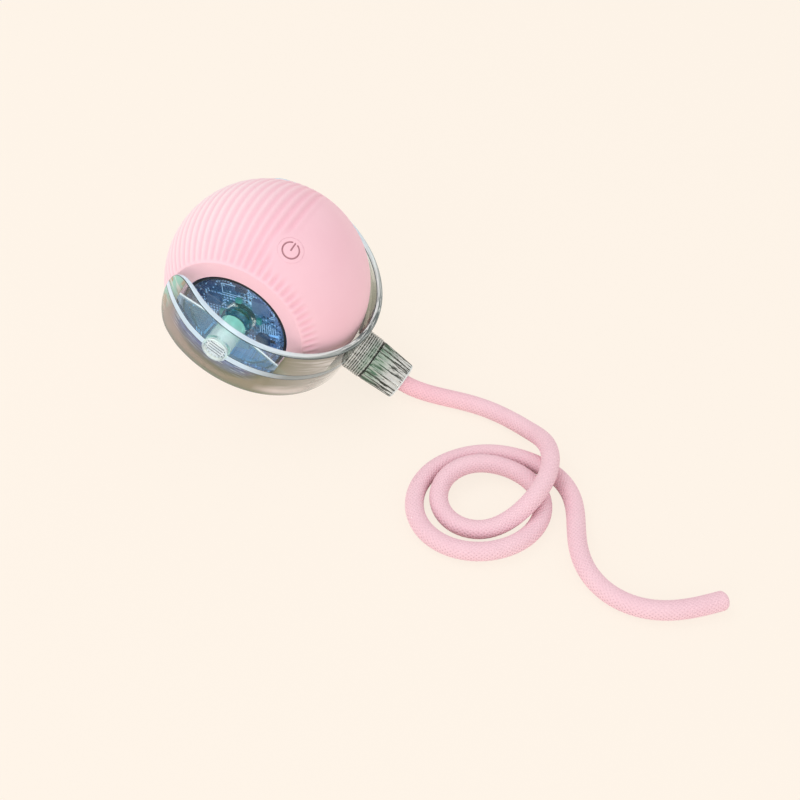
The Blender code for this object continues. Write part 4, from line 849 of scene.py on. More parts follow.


# %% [markdown]
# ## Tints of the clear pieces
# The band's colours are painted: over its width and towards the neck they stand in for the
# sleeve, the floor and the band's own far side seen through the plastic, with painted shade,
# highlights and reflections. Each tint lays colours over one another, and each `ramp` gives
# the millimetres between which a colour comes in.

# %% Tints of the band


def band_tint(tree, tint):
    """Clear, with painted grey streaks of reflection where the band nears the neck."""
    spot, marks = along_band(tree)
    near = spot["Neckwards"]
    grey = mix(tree, ramp(tree, marks["Reflection Streak"], 0.52, 0.44), srgb(232, 236, 234),
               srgb(168, 176, 166))
    grey = lay(tree, grey, srgb(142, 150, 130), ramp(tree, near, 19.0, 25.0), 0.75)
    return lay(tree, tint, grey, ramp(tree, near, 13.0, 19.0))


def band_end(tree, spot, marks, cloud, under):
    """Mint and taupe clouds on the front end of the band, painted for what is seen through it,
    with painted bright streaks.
    """
    end = mix(tree, ramp(tree, cloud, 0.38, 0.6), srgb(142, 222, 200), srgb(172, 158, 116))
    end = lay(tree, end, srgb(240, 248, 242), ramp(tree, marks["Reflection Streak"], 0.54, 0.66), 0.8)
    slanted = calc(tree, 'ADD', spot["Neckwards"], calc(tree, 'MULTIPLY', spot["Across"], -0.22))
    return lay(tree, under, end, ramp(tree, slanted, -14.6, -18.6),
               ramp(tree, spot["Polewards"], -2.0, 2.0))


def band_window(tree, spot, marks, cloud, under):
    """Painted blue of the board seen through the band, with painted bright and dark glints,
    where the band lies before the window.
    """
    blue = mix(tree, cloud, srgb(120, 150, 188), srgb(112, 108, 160))
    blue = lay(tree, blue, srgb(226, 238, 250), ramp(tree, marks["Glint"], 0.58, 0.66))
    blue = lay(tree, blue, srgb(58, 70, 104), ramp(tree, marks["Glint"], 0.42, 0.36))
    return lay(tree, under, blue, ramp(tree, spot["Across"], -5.2, -1.6),
               ramp(tree, spot["Neckwards"], 12.5, 8.0),
               ramp(tree, spot["Neckwards"], -15.0, -11.0),
               ramp(tree, spot["Polewards"], -2.0, 2.0), 0.9)


def painted_shade_tint(tree, tint):
    """Painted shade seen through the band: taupe at the end, olive under the ball and grey near
    the neck, with painted bright streaks, a pale painted reflection and dark streaks.
    """
    spot, marks = along_band(tree)
    near, across, reflection_streak = spot["Neckwards"], spot["Across"], marks["Reflection Streak"]
    cloud = grain_at(tree, 240.0, 1500.0)["Patches"]
    # painted shade: olive where the band passes under the ball, grey towards the neck
    colour = lay(tree, tint, srgb(126, 128, 96), ramp(tree, near, -12.0, 8.0))
    colour = lay(tree, colour, srgb(190, 188, 176), ramp(tree, near, 15.0, 24.0))
    # painted highlights: bright streaks near the neck
    colour = lay(tree, colour, srgb(250, 250, 246), ramp(tree, reflection_streak, 0.54, 0.66),
                 ramp(tree, near, 15.0, 26.0), 0.8)
    # painted reflection: a pale lens low on the band, towards the neck
    colour = lay(tree, colour, srgb(240, 236, 228), ramp(tree, across, -8.4, -7.2),
                 ramp(tree, across, -4.6, -6.4), ramp(tree, near, 12.5, 18.0),
                 ramp(tree, near, 27.5, 22.0), 0.8)
    # painted dark streaks of reflection near the neck
    colour = lay(tree, colour, srgb(62, 68, 56), ramp(tree, reflection_streak, 0.46, 0.4),
                 ramp(tree, near, 22.0, 28.0), 0.75)
    colour = band_end(tree, spot, marks, cloud, colour)
    colour = broken_streaks(tree, colour, marks["Split"], 0.8, ramp(tree, near, 23.0, 28.0))
    return band_window(tree, spot, marks, cloud, colour)


def rim_tint(tree, tint):
    """Milky blue, with painted streaks of reflection in grey, black and white and a painted dark
    outline where the band nears the neck.
    """
    spot, marks = along_band(tree)
    near, out = spot["Neckwards"], spot["Outwards"]
    on_band = ramp(tree, out, 30.0, 29.2)
    colour = lay(tree, tint, srgb(240, 244, 240), ramp(tree, near, 8.0, 20.0))
    # painted dark streaks of reflection on the band towards the neck
    colour = lay(tree, colour, srgb(92, 100, 84), ramp(tree, marks["Reflection Streak"], 0.56, 0.46), on_band,
                 ramp(tree, near, 15.0, 26.0), 0.85)
    colour = broken_streaks(tree, colour, marks["Split"], on_band, ramp(tree, near, 22.5, 26.5))
    # painted dark outline along the outer edge of the band towards the neck
    return lay(tree, colour, srgb(84, 92, 76), ramp(tree, out, 28.25, 28.55), on_band,
               ramp(tree, near, 8.0, 18.0), 0.8)


# %% [markdown]
# The hubs turn from white at the pin to teal at the window, as painted light of the lamps
# round the window. The neck carries painted streaks of reflection along its length, and the
# rings of its collar darken in step with their own wave, as painted shade in their grooves.

# %% Tints of hub and neck
RING_FIRST, RING_PITCH, RING_SLOPE = 29.4, 0.62, 0.12


def hub_tint(tree, tint):
    """White at the pin and teal towards the window, as painted light of the lamps there."""
    spot = use_group(tree, yoke_place, Place=object_place(tree))
    level = calc(tree, 'ABSOLUTE', spot["Polewards"])
    return lay(tree, tint, srgb(130, 222, 208), ramp(tree, level, 25.0, 21.0))


def streaked(tree, tint):
    """Painted dark and bright streaks of reflection along the neck, painted shade at its sides and
    in the rings of the collar, green in the middle.
    """
    uv = add(tree, "ShaderNodeTexCoord").outputs["UV"]
    stretched = add(tree, "ShaderNodeMapping", {"Vector": uv, "Scale": (68.0, 2.6, 1.0)})
    cloud = noise(tree, stretched.outputs[0], 3.0, 0.65)
    near = use_group(tree, yoke_place, Place=object_place(tree))["Neckwards"]
    # painted shade in the grooves of the collar rings
    ring = calc(tree, 'COSINE', calc(tree, 'MULTIPLY', calc(
        tree, 'SUBTRACT', near, RING_FIRST + RING_SLOPE), 2 * math.pi / RING_PITCH))
    ringed = calc(tree, 'MULTIPLY_ADD', cloud, -4.5, calc(tree, 'ADD', ring, 2.25))
    facing = add(tree, "ShaderNodeLayerWeight", {"Blend": 0.5}).outputs["Facing"]
    # painted shade: darker towards the sides of the neck as seen, lighter in the middle
    shaded = calc(tree, 'MULTIPLY_ADD', facing, -0.2, calc(tree, 'ADD', cloud, 0.032))
    streaks = mix(tree, ramp(tree, shaded, 0.44, 0.53), srgb(34, 44, 32), tint)
    rings = mix(tree, ramp(tree, ringed, 0.7, -0.1), srgb(40, 50, 38), tint)
    colour = lay(tree, streaks, rings, ramp(tree, near, 33.2, 33.0), 0.85)
    return lay(tree, colour, srgb(112, 168, 132), ramp(tree, near, 30.5, 32.5),
               ramp(tree, near, 39.0, 36.0), ramp(tree, facing, 0.6, 0.1), 0.55)


# %% [markdown]
# Every clear piece gets its tint, the deeper tint of its edges as painted dark edges, its
# roughness, how far the deeper tint reaches, how clear it is, and painted light of its own
# where it is lit from inside.

# %% Clear finishes
band_finish = clear_plastic("clear_band_look", srgb(240, 247, 250), srgb(150, 172, 176), 0.02,
                            0.3, paint=band_tint, bend=1.14)
# painted shade and see-through colour for the lower half of the band's outside
painted_shade_finish = clear_plastic("painted_shade_band", srgb(145, 140, 127), srgb(104, 100, 80), 0.05, 0.4,
                             0.35, paint=painted_shade_tint, bend=1.3)
# milky edges, partly painted light for the light they catch, with a painted glow
rim_finish = clear_plastic("moulded_edge", srgb(220, 241, 254), srgb(186, 208, 222), 0.14, 0.3,
                           0.3, 0.1, paint=rim_tint)
# painted dark outlines along the edges of the band
line_finish = clear_plastic("edge_line", srgb(70, 92, 100), srgb(30, 42, 48), 0.08, 0.8, 0.5)
# painted light: the webs glow a little
web_finish = clear_plastic("web_clear", srgb(172, 230, 248), srgb(150, 188, 206), 0.04, 0.2,
                           1.0, 0.06, bend=1.14)
# painted highlight: the chord edge of each web glows
chord_finish = clear_plastic("web_edge", srgb(238, 247, 250), srgb(200, 214, 222), 0.1, 0.2,
                             0.2, 0.4)
# painted light: the hubs glow a little
hub_finish = clear_plastic("hub_clear", srgb(236, 252, 250), srgb(70, 136, 140), 0.06, 1.0, 0.6,
                           0.13, paint=hub_tint, bend=1.25)
neck_finish = clear_plastic("neck_clear", srgb(248, 251, 246), srgb(96, 110, 96), 0.06, 0.4,
                            0.35, paint=streaked)
window_finish = clear_plastic("window_clear", srgb(240, 248, 251), srgb(176, 196, 208),
                              bend=1.2)
# painted light: the front boss is teal for the glow of the lamps round it
boss_finish = clear_plastic("lit_boss", srgb(110, 218, 202), srgb(8, 88, 84), 0.08, 0.9,
                            bend=1.2)
ring_print = grained("ring_print", srgb(14, 18, 24), srgb(26, 32, 40), 0.4)[0]
print("clear finishes ready:", band_finish.name, rim_finish.name, hub_finish.name)

# %% [markdown]
# ## The windows
# Each pole has a stepped clear cover. Its thick middle is a boss that holds the brass
# bush of the pivot. The lamps round the front boss light it up, so it is tinted teal as
# painted light. A thin black line is printed round the edge of the cover. One turned
# profile gives all of it, and the finish of a face is chosen by how far out and how high
# the face lies.

# %% Windows


def paint_faces(piece, finishes, slots):
    """Gives the piece its finishes, and each face the number of its own. One number alone
    goes to all faces."""
    for finish in finishes:
        piece.data.materials.append(finish)
    whole = np.empty(len(piece.data.polygons), dtype=np.int32)
    whole[:] = slots
    piece.data.polygons.foreach_set("material_index", whole)
    return piece


PRINT_RADIUS, PRINT_LEVEL, BOSS_RADIUS, BOSS_LEVEL = 13.8, 17.9, 3.6, 17.3
WINDOW_PROFILE = ((0.05, 14.85), (2.7, 14.85), (2.7, 18.55), (13.85, 18.55), (14.3, 18.55),
                  (14.3, 15.25), (16.5, 15.25), (16.5, 14.25), (13.0, 14.25), (13.0, 17.35),
                  (4.2, 17.35), (4.2, 14.25), (0.05, 14.25))
for name, axes, node in (("front_cover", FRONT, "front_window"),
                         ("rear_cover", REAR, "rear_window")):
    cover = lathe(name, rounded(WINDOW_PROFILE, 0.25), axes, 128, angle=30.0)
    count = len(cover.data.polygons)
    middle = np.empty(count * 3)
    cover.data.polygons.foreach_get("center", middle)
    middle = (middle.reshape(-1, 3) - CENTRE) / MM
    out = np.hypot(middle[:, 0], middle[:, 2])
    level = np.abs(middle[:, 1])
    slots = np.where((out > PRINT_RADIUS) & (level > PRINT_LEVEL), 2, 0)
    if node == "front_window":
        slots = np.where((out < BOSS_RADIUS) & (level < BOSS_LEVEL), 1, slots)
    paint_faces(cover, (window_finish, boss_finish, ring_print), slots)
    settle(cover, "ball", node)

# %% [markdown]
# ## The yoke
# One clear moulding: a C shaped band round the ball, a flat web inside it at each pole,
# two hubs on the pole axis and the neck for the tail. The band could be a curve with a
# profile, but its ends narrow along a quarter circle and get thinner at once. So here
# each station along the arc works out its own half width and its own outer radius.

# %% Stations along the band
YOKE_INNER, YOKE_RADIUS, HALF_WIDTH, CORNER = 27.1, 28.8, 9.2, 8.5
END_ANGLE, TAPER, TAPER_LENGTH = 43.5, 0.8, 13.0
EDGE, EDGE_ROOM, STRIPE, STRIPE_LINE = 0.35, 0.42, 1.1, 0.2
PAINTED_SHADE_END, PAINTED_SHADE_MIDDLE, PAINTED_SHADE_HALF = 122.5, 45.0, 15.5
YOKE_FINISHES = (band_finish, painted_shade_finish, rim_finish, line_finish, web_finish, chord_finish,
                 hub_finish, neck_finish)
BAND, PAINTED_SHADE, RIM, LINE, WEB, CHORD, HUB, NECK_PART = range(len(YOKE_FINISHES))


def arc_point(radius, angle, across):
    """Angle 0 is the front pole and 90 the neck, both in millimetres and degrees."""
    turn = np.radians(angle)
    flat = np.cos(turn)[..., None] * FRONT_AXIS + np.sin(turn)[..., None] * NECK_AXIS
    return CENTRE + MM * (radius[..., None] * flat + across[..., None] * WIDTH_AXIS)


span = 180.0 + 2 * END_ANGLE
corner_angle = math.degrees(CORNER / YOKE_RADIUS)
ends = corner_angle * (1 - np.cos(np.linspace(0.02, math.pi / 2, 22)))
station = np.concatenate((ends, np.linspace(corner_angle, span - corner_angle, 180)[1:-1],
                          span - ends[::-1]))
distance = np.radians(np.minimum(station, span - station)) * YOKE_RADIUS
rest = np.clip(CORNER - distance, 0.0, None)
half = (HALF_WIDTH - CORNER + np.sqrt(CORNER ** 2 - rest ** 2))[:, None]
outside = (YOKE_RADIUS - TAPER * np.clip(1 - distance / TAPER_LENGTH, 0.0, None))[:, None]
print("half width from %.2f to %.2f mm" % (half.min(), half.max()))

# %% Section of the band
# corners of the section: share of the thickness, side, and where its quarter circle starts
corner_steps = np.linspace(0.0, math.pi / 2, 5)
columns = []
for mid, sign, start in ((0, 1, math.pi), (1, 1, math.pi / 2), (1, -1, 0.0),
                         (0, -1, -math.pi / 2)):
    for step in corner_steps:
        columns.append((mid, EDGE * (math.cos(start - step) + 1 - 2 * mid), sign,
                        EDGE * (math.sin(start - step) - sign)))
    if (mid, sign) == (1, 1):
        columns += [(1, 0.0, 0, shift) for shift in (
            STRIPE, STRIPE - STRIPE_LINE, STRIPE_LINE - STRIPE, -STRIPE)]
mid, lift, sign, shift = np.array(columns).T
radius = YOKE_INNER + mid * (outside - YOKE_INNER) + lift
fit = np.where(sign == 0, np.minimum(1.0, (half - EDGE_ROOM) / STRIPE), 1.0)
across = half * sign + shift * fit
band = arc_point(radius, (station - END_ANGLE)[:, None] + 0.0 * across, across)
yoke = ring_mesh("clear_band", band, angle=30.0)

# %% Strips of the band
# which finish each strip of faces has: the rims and a stripe along the middle are milky, with
# thin painted dark outlines beside them and a painted glow; the lower half of the outside
# carries painted shade, and so does the upper half at its ends and before the neck
strips = np.array([LINE, LINE, RIM, RIM, RIM, RIM, RIM, LINE, LINE, BAND, LINE, RIM, LINE,
                   PAINTED_SHADE, LINE, LINE, RIM, RIM, RIM, RIM, RIM, LINE, LINE, BAND])
whole = np.tile(strips, (len(station) - 1, 1))
angle_at = station[:-1] - END_ANGLE
from_neck = np.abs(90.0 - angle_at)
whole[(from_neck > PAINTED_SHADE_END) | (np.abs(PAINTED_SHADE_MIDDLE - angle_at) < PAINTED_SHADE_HALF), 9] = PAINTED_SHADE
slots = np.full(len(yoke.data.polygons), RIM)
slots[:whole.size] = whole.ravel()
paint_faces(yoke, YOKE_FINISHES, slots)
print("band: %d stations, %.1f mm wide" % (len(station), 2 * HALF_WIDTH))

# %% [markdown]
# The webs are flat plates with a thicker chord along their straight edge, and the hubs are
# turned. Each is made as a closed shape and joined to the band, and then the bore of the
# pin with the seat of its head is cut through both, as one mould would form them.

# %% Webs and hubs
WEB_CHORD, WEB_HALF, WEB_LINE = 20.9, 0.6, 0.42
HUB_RADIUS, HUB_FOOT, HUB_REACH, HUB_ROUND = 3.5, 19.15, 29.0, 0.2
PIN_BORE, HEAD_BORE, HEAD_SEAT = 1.55, 3.0, 27.3
outer = (YOKE_INNER + YOKE_RADIUS) / 2
reach = math.acos((WEB_CHORD + 1.2 * WEB_LINE) / outer)
angle = np.linspace(-reach, reach, 61)[:, None]
mid, lift, sign = np.array(((0, 0, -1), (0, 0, 1), (0, WEB_LINE, 1), (1, 0, 1), (1, 0, -1),
                            (0, WEB_LINE, -1))).T
for axes in (FRONT, REAR):
    height = WEB_CHORD + mid * (outer * np.cos(angle) - WEB_CHORD) + lift
    web_axes = np.array((NECK_AXIS, WIDTH_AXIS, axes[2]))
    grid = place(web_axes, (outer * np.sin(angle) + 0.0 * height) * MM,
                 (WEB_HALF * sign + 0.0 * height) * MM, height * MM)
    web = ring_mesh("web", grid, angle=30.0)
    slots = np.full(len(web.data.polygons), WEB)
    slots[:(len(angle) - 1) * 6] = np.tile((WEB, CHORD, WEB, WEB, WEB, WEB), len(angle) - 1)
    hub = lathe("hub", rounded(((0.05, HUB_FOOT), (HUB_RADIUS, HUB_FOOT), (HUB_RADIUS, HUB_REACH),
                                (0.05, HUB_REACH)), HUB_ROUND), axes, 72)
    bore = lathe("bore", ((0.05, 18.5), (PIN_BORE, 18.5), (PIN_BORE, HEAD_SEAT),
                          (HEAD_BORE, HEAD_SEAT), (HEAD_BORE, HUB_REACH + 0.4),
                          (0.05, HUB_REACH + 0.4)), axes, 72)
    for tool, operation, slots in ((web, 'UNION', slots), (hub, 'UNION', HUB),
                                   (bore, 'DIFFERENCE', HUB)):
        join_or_cut(yoke, paint_faces(tool, YOKE_FINISHES, slots), operation)
print("yoke with webs and hubs: %d faces" % len(yoke.data.polygons))

# %% [markdown]
# The profile of the neck runs up the collar with its fine rings, steps in at the top, and
# goes on as the spigot. A real thread is a helix. The cap hides this one, so a zigzag with
# the same depth and pitch stands for it.

# %% Neck
COLLAR, COLLAR_FOOT, COLLAR_TOP, RING_FLOOR = 6.0, 27.4, 33.3, 5.82
SPIGOT, THREAD_ROOT, THREAD_PITCH, SPIGOT_END, NECK_BORE = 4.0, 3.7, 1.24, 39.5, 3.25
profile = [(0.05, COLLAR_FOOT), (COLLAR, COLLAR_FOOT), (COLLAR, RING_FIRST - 0.2)]
for start in np.arange(RING_FIRST, 32.6, RING_PITCH):
    profile += [(COLLAR, start), (RING_FLOOR, start + RING_SLOPE),
                (RING_FLOOR, start + 2 * RING_SLOPE), (COLLAR, start + 3 * RING_SLOPE)]
profile += [(COLLAR, 33.0), (5.7, COLLAR_TOP), (SPIGOT, COLLAR_TOP)]
for start in COLLAR_TOP + THREAD_PITCH * (np.arange(4) + 0.5):
    profile += [(SPIGOT, start), (THREAD_ROOT, start + THREAD_PITCH / 2)]
profile += [(SPIGOT, SPIGOT_END - THREAD_PITCH / 2), (THREAD_ROOT, SPIGOT_END), (0.05, SPIGOT_END)]
neck = lathe("neck", profile, NECK, 96)
bore = lathe("bore", ((0.05, 30.5), (NECK_BORE, 30.5), (NECK_BORE, 40.0), (0.05, 40.0)), NECK, 96)
for tool, operation in ((neck, 'UNION'), (bore, 'DIFFERENCE')):
    join_or_cut(yoke, paint_faces(tool, YOKE_FINISHES, NECK_PART), operation)
shade(yoke, 30.0)
settle(yoke, "yoke", "clear_yoke")

# %% [markdown]
# ## The screw cap
# The cap clamps the crimped end of the tail. Its ribs are a wave round the outside, as
# deep as the grip of a bottle cap. They could be copies of one rib joined to a cone, but a
# wave that fades at both ends gives the soft run-out of a mould. A thin black seal sits
# between cap and collar.

# %% Screw cap
CAP_FOOT, CAP_END, CAP_WIDE, CAP_NARROW, CAP_ROUND = 33.6, 43.5, 5.8, 5.1, 0.4
CAP_RIBS, RIB_DEPTH, RIB_START, RIB_FADE, MILKY_FROM = 24, 0.3, 0.15, 0.35, 42.95
CORD_HOLE, HOLE_FOOT, CAP_BORE = 2.78, 41.1, 4.3
height = np.concatenate((np.linspace(CAP_FOOT, 34.1, 5), np.linspace(34.4, 42.9, 24),
                         np.linspace(43.1, CAP_END, 5)))
around = full_turn(CAP_RIBS * 10)
body_radius = CAP_WIDE + (CAP_NARROW - CAP_WIDE) * (height - CAP_FOOT) / (CAP_END - CAP_FOOT)
from_end = np.minimum(height - CAP_FOOT, CAP_END - height)
left = 1 - np.clip(from_end / CAP_ROUND, 0.0, 1.0)
edge = CAP_ROUND * (1 - np.sqrt(1 - left ** 2))
wave = (0.5 - 0.5 * np.cos(CAP_RIBS * around)) ** 0.7
ribs = ease((from_end - RIB_START) / RIB_FADE)
outside = (body_radius - edge)[:, None] - RIB_DEPTH * ribs[:, None] * wave[None]
inside = np.array(((CORD_HOLE, CAP_END), (CORD_HOLE, HOLE_FOOT), (CAP_BORE, HOLE_FOOT),
                   (CAP_BORE, CAP_FOOT)))
radius = np.concatenate((outside, np.repeat(inside[:, :1], len(around), axis=1)))
level = np.concatenate((height, inside[:, 1]))[:, None]
cap = ring_mesh("ribbed_cap", turned(NECK, radius, around, level), joined=True, angle=30.0)
# the cap's body takes the neck finish with its painted reflections and shade, and its end takes
# the milky edge finish with its painted glow
slots = np.zeros(len(cap.data.polygons))
end_rows = np.flatnonzero(height > MILKY_FROM)
slots[end_rows[0] * len(around):len(height) * len(around)] = 1
paint_faces(cap, (neck_finish, rim_finish), slots)
settle(cap, "cap", "tail_cap")

# %% Seal
seal = lathe("cap_seal", rounded(((4.35, 33.32), (5.75, 33.32), (5.75, 33.58), (4.35, 33.58)),
                                 0.08, 3, ring=True), NECK, 96, ring=True)
seal.data.materials.append(grained("black_seal", srgb(20, 24, 22), srgb(34, 38, 36), 0.5)[0])
settle(seal, "cap", slot="tail_cap")

# %% [markdown]
# ## The pivot pins
# Each pin has a flat head sunk in its hub, with small notches round it and four fine
# parallel lines across it. Booleans could cut them one by one. Here both are depths in the
# same rings, and the depth is kept at each point, because dirt and shade collect there.

# %% Pin finish
pin_finish, tree, shader = grained("satin_steel", srgb(228, 240, 246), srgb(208, 224, 234), 0.3,
                                   0.2, patch=500.0)
cut_mark = add(tree, "ShaderNodeAttribute", attribute_name="cut").outputs["Fac"]
tree.links.new(lay(tree, base_colour(shader), srgb(44, 70, 96), cut_mark),
               shader.inputs["Base Color"])
print("pin finish:", pin_finish.name)

# %% Pivot pins
PIN_FACE, PIN_UNDER, PIN_RADIUS, PIN_INNER_END = 28.4, 27.65, 1.25, 15.45
HEAD_RADIUS, NOTCHES, NOTCH_DEPTH, HEAD_BEVEL = 2.85, 16, 0.34, 0.1
CUTS = (-1.35, -0.45, 0.45, 1.35)
CUT_HALF_LENGTH, CUT_HALF_WIDTH, CUT_WALL, CUT_DEPTH = 2.0, 0.08, 0.1, 0.16
for name, axes, node in (("front_pin", FRONT, "front_pivot_pin"),
                         ("rear_pin", REAR, "rear_pivot_pin")):
    around = full_turn(192)
    radius = np.array((0.05, PIN_RADIUS, PIN_RADIUS))[:, None] + 0.0 * around
    level = np.array((PIN_INNER_END, PIN_INNER_END, PIN_UNDER))[:, None] + 0.0 * around
    notch = ease(4.0 * np.cos(NOTCHES * around) - 1.2)
    head = HEAD_RADIUS - NOTCH_DEPTH * notch
    rim_rows = np.array((head, head, head - HEAD_BEVEL))
    rim_level = np.array((PIN_UNDER, PIN_FACE - 0.12, PIN_FACE))[:, None] + 0.0 * around
    face = (head[None] - HEAD_BEVEL) * np.linspace(0.97, 0.02, 44)[:, None]
    aside = face * (np.sin(around) if node == "front_pivot_pin" else -np.sin(around))
    cut = np.min([np.abs(aside - line) for line in CUTS], axis=0)
    inside = np.abs(face * np.cos(around)) < CUT_HALF_LENGTH
    line = (1 - ease((cut - CUT_HALF_WIDTH) / CUT_WALL)) * inside
    radius = np.concatenate((radius, rim_rows, face))
    level = np.concatenate((level, rim_level, PIN_FACE - CUT_DEPTH * line))
    pin = ring_mesh(name, turned(axes, radius, around, level), angle=30.0)
    store(pin, "cut", np.concatenate((np.tile(notch, 3), line.ravel())), start=3 * len(around))
    pin.data.materials.append(pin_finish)
    settle(pin, "yoke", node)

# %% [markdown]
# ## The board behind the window
# The board is drilled and printed in blue. Its tracks, pads and small parts are real
# shapes, a few hundredths of a millimetre high, and its holes and slots are dark boxes of
# painted shade. They could be drawn by nodes, but true edges stay sharp behind the thick
# window and catch the light of the lamps.

# %% Boxes on the board
BOARD_FACE, BOARD_HOLE, BOARD_EDGE = 13.95, 4.6, 11.4


def board_boxes(name, spots, sizes, low, high):
    """Boxes on the board: spots are (x, z) in mm, sizes are (across, up) in mm, and low and
    high are how far their ends lie from the middle of the ball."""
    spots, sizes = np.array(spots, dtype=float), np.array(sizes, dtype=float)
    sizes = np.broadcast_to(sizes, spots.shape) / 2
    signs = np.array(((-1, -1), (1, -1), (1, 1), (-1, 1)))
    corner = spots[:, None] + signs[None] * sizes[:, None]
    levels = np.array((low, high))
    points = np.stack((np.broadcast_to(corner[:, None, :, 0], (len(spots), 2, 4)),
                       np.broadcast_to(-levels[None, :, None], (len(spots), 2, 4)),
                       np.broadcast_to(corner[:, None, :, 1], (len(spots), 2, 4))), -1)
    box = np.array(((0, 3, 2, 1), (4, 5, 6, 7), (0, 1, 5, 4), (1, 2, 6, 5), (2, 3, 7, 6),
                    (3, 0, 4, 7)))
    faces = (box[None] + 8 * np.arange(len(spots))[:, None, None]).reshape(-1, 4)
    return link(name, CENTRE + points.reshape(-1, 3) * MM, faces.tolist())


def track_boxes(lines, width):
    """Each straight run of a track, from one point to the next, as a box on the board."""
    spots, sizes = [], []
    for line in lines:
        for (x0, z0), (x1, z1) in zip(line[:-1], line[1:]):
            spots.append(((x0 + x1) / 2, (z0 + z1) / 2))
            sizes.append((abs(x1 - x0) + width, abs(z1 - z0) + width))
    return spots, sizes


def spread(xs, zs, keep):
    """The places of a grid that the test keeps, all of them on the board."""
    return [(x, z) for x in xs for z in zs
            if BOARD_HOLE < math.hypot(x, z) < BOARD_EDGE and keep(x, z)]


print("pads lie from %.1f to %.1f mm from the board's middle" % (BOARD_HOLE, BOARD_EDGE))

# %% Tracks
TRACK_WIDTH, TRACK_HEIGHT = 0.2, 0.04
comb = [((4.9 + 0.62 * k, -0.6 - 0.2 * k), (4.9 + 0.62 * k, -4.6 + 0.1 * k),
         (10.4 - 0.1 * k, -4.6 + 0.1 * k)) for k in range(8)]
outline = [((-4.9, 5.9), (1.5, 5.9), (1.5, 8.9), (-4.9, 8.9), (-4.9, 5.9)),
           ((-5.6, 5.2), (2.6, 5.2), (3.4, 4.4))]
ladder = [((7.4, 4.4 - 0.6 * k), (10.4 - 0.1 * k, 4.4 - 0.6 * k)) for k in range(6)]
feeder = [((-9.9 + 0.6 * k, -1.2), (-9.9 + 0.6 * k, -4.2 - 0.7 * k)) for k in range(5)]
spots, sizes = track_boxes(comb + outline + ladder + feeder, TRACK_WIDTH)
tracks = board_boxes("board_tracks", spots, sizes, BOARD_FACE, BOARD_FACE + TRACK_HEIGHT)


def lit_grain(name, colour, second, glow, *others, **more):
    """A grained finish with a little painted light, for the lamps on the board lighting it."""
    material, _, shader = grained(name, colour, second, *others, **more)
    light_up(shader, second, glow)
    return material


tracks.data.materials.append(lit_grain("white_print", srgb(206, 228, 244), srgb(150, 192, 226),
                                       0.4, 0.5))
settle(tracks, "ball", slot="circuit_board")

# %% Pads
PAD_WIDTH, PAD_HEIGHT = 0.46, 0.05
rows = spread(np.arange(-10.6, -0.9, 0.86), np.arange(-0.8, 5.4, 0.86),
              lambda x, z: not (x > -1.6 and z < 5.0))
rows += spread(np.arange(1.0, 7.4, 0.74), np.arange(4.9, 10.4, 0.74),
               lambda x, z: x > 2.4 or z > 9.4)
rows += spread(np.arange(-8.0, 8.1, 1.0), np.arange(-10.2, -5.4, 1.0),
               lambda x, z: not (4.0 < x and z > -8.4))
dots = board_boxes("board_pads", rows, (PAD_WIDTH, PAD_WIDTH), BOARD_FACE,
                   BOARD_FACE + PAD_HEIGHT)
dots.data.materials.append(lit_grain("tinned_pad", srgb(188, 216, 240), srgb(124, 170, 214), 0.4,
                                     0.35, 0.2, patch=900.0))
settle(dots, "ball", slot="circuit_board")

# %% Drilled holes and slots
VIA_WIDTH, VIA_HEIGHT = 0.5, 0.06
vias = spread(np.arange(0.6, 10.0, 1.15), np.arange(0.4, 7.6, 1.05),
              lambda x, z: math.sin(7.3 * x + 3.1 * z) > -0.2)
# painted shade: dark boxes stand for the holes and slots, dark as the inside of an opening
holes = board_boxes("board_vias", vias + [(6.6, -6.4), (-7.4, -3.2)],
                    [(VIA_WIDTH, VIA_WIDTH)] * len(vias) + [(4.6, 1.0), (1.0, 2.6)], BOARD_FACE,
                    BOARD_FACE + VIA_HEIGHT)
holes.data.materials.append(grained("hole_shade", srgb(16, 26, 56), srgb(26, 42, 80), 0.5,
                                    patch=900.0)[0])
settle(holes, "ball", slot="circuit_board")

# %% [markdown]
# ## Finish of the board and the parts inside
# Every part that stays as the model made it gets the finish of its own trade: moulded
# nylon for the gears, drawn steel for the motor can, foil for the cell. The board is glass
# cloth under a blue mask. Bricks stand for the weave and cells for small dark and pale
# parts, since the photograph is blurred there.

# %% Board finish


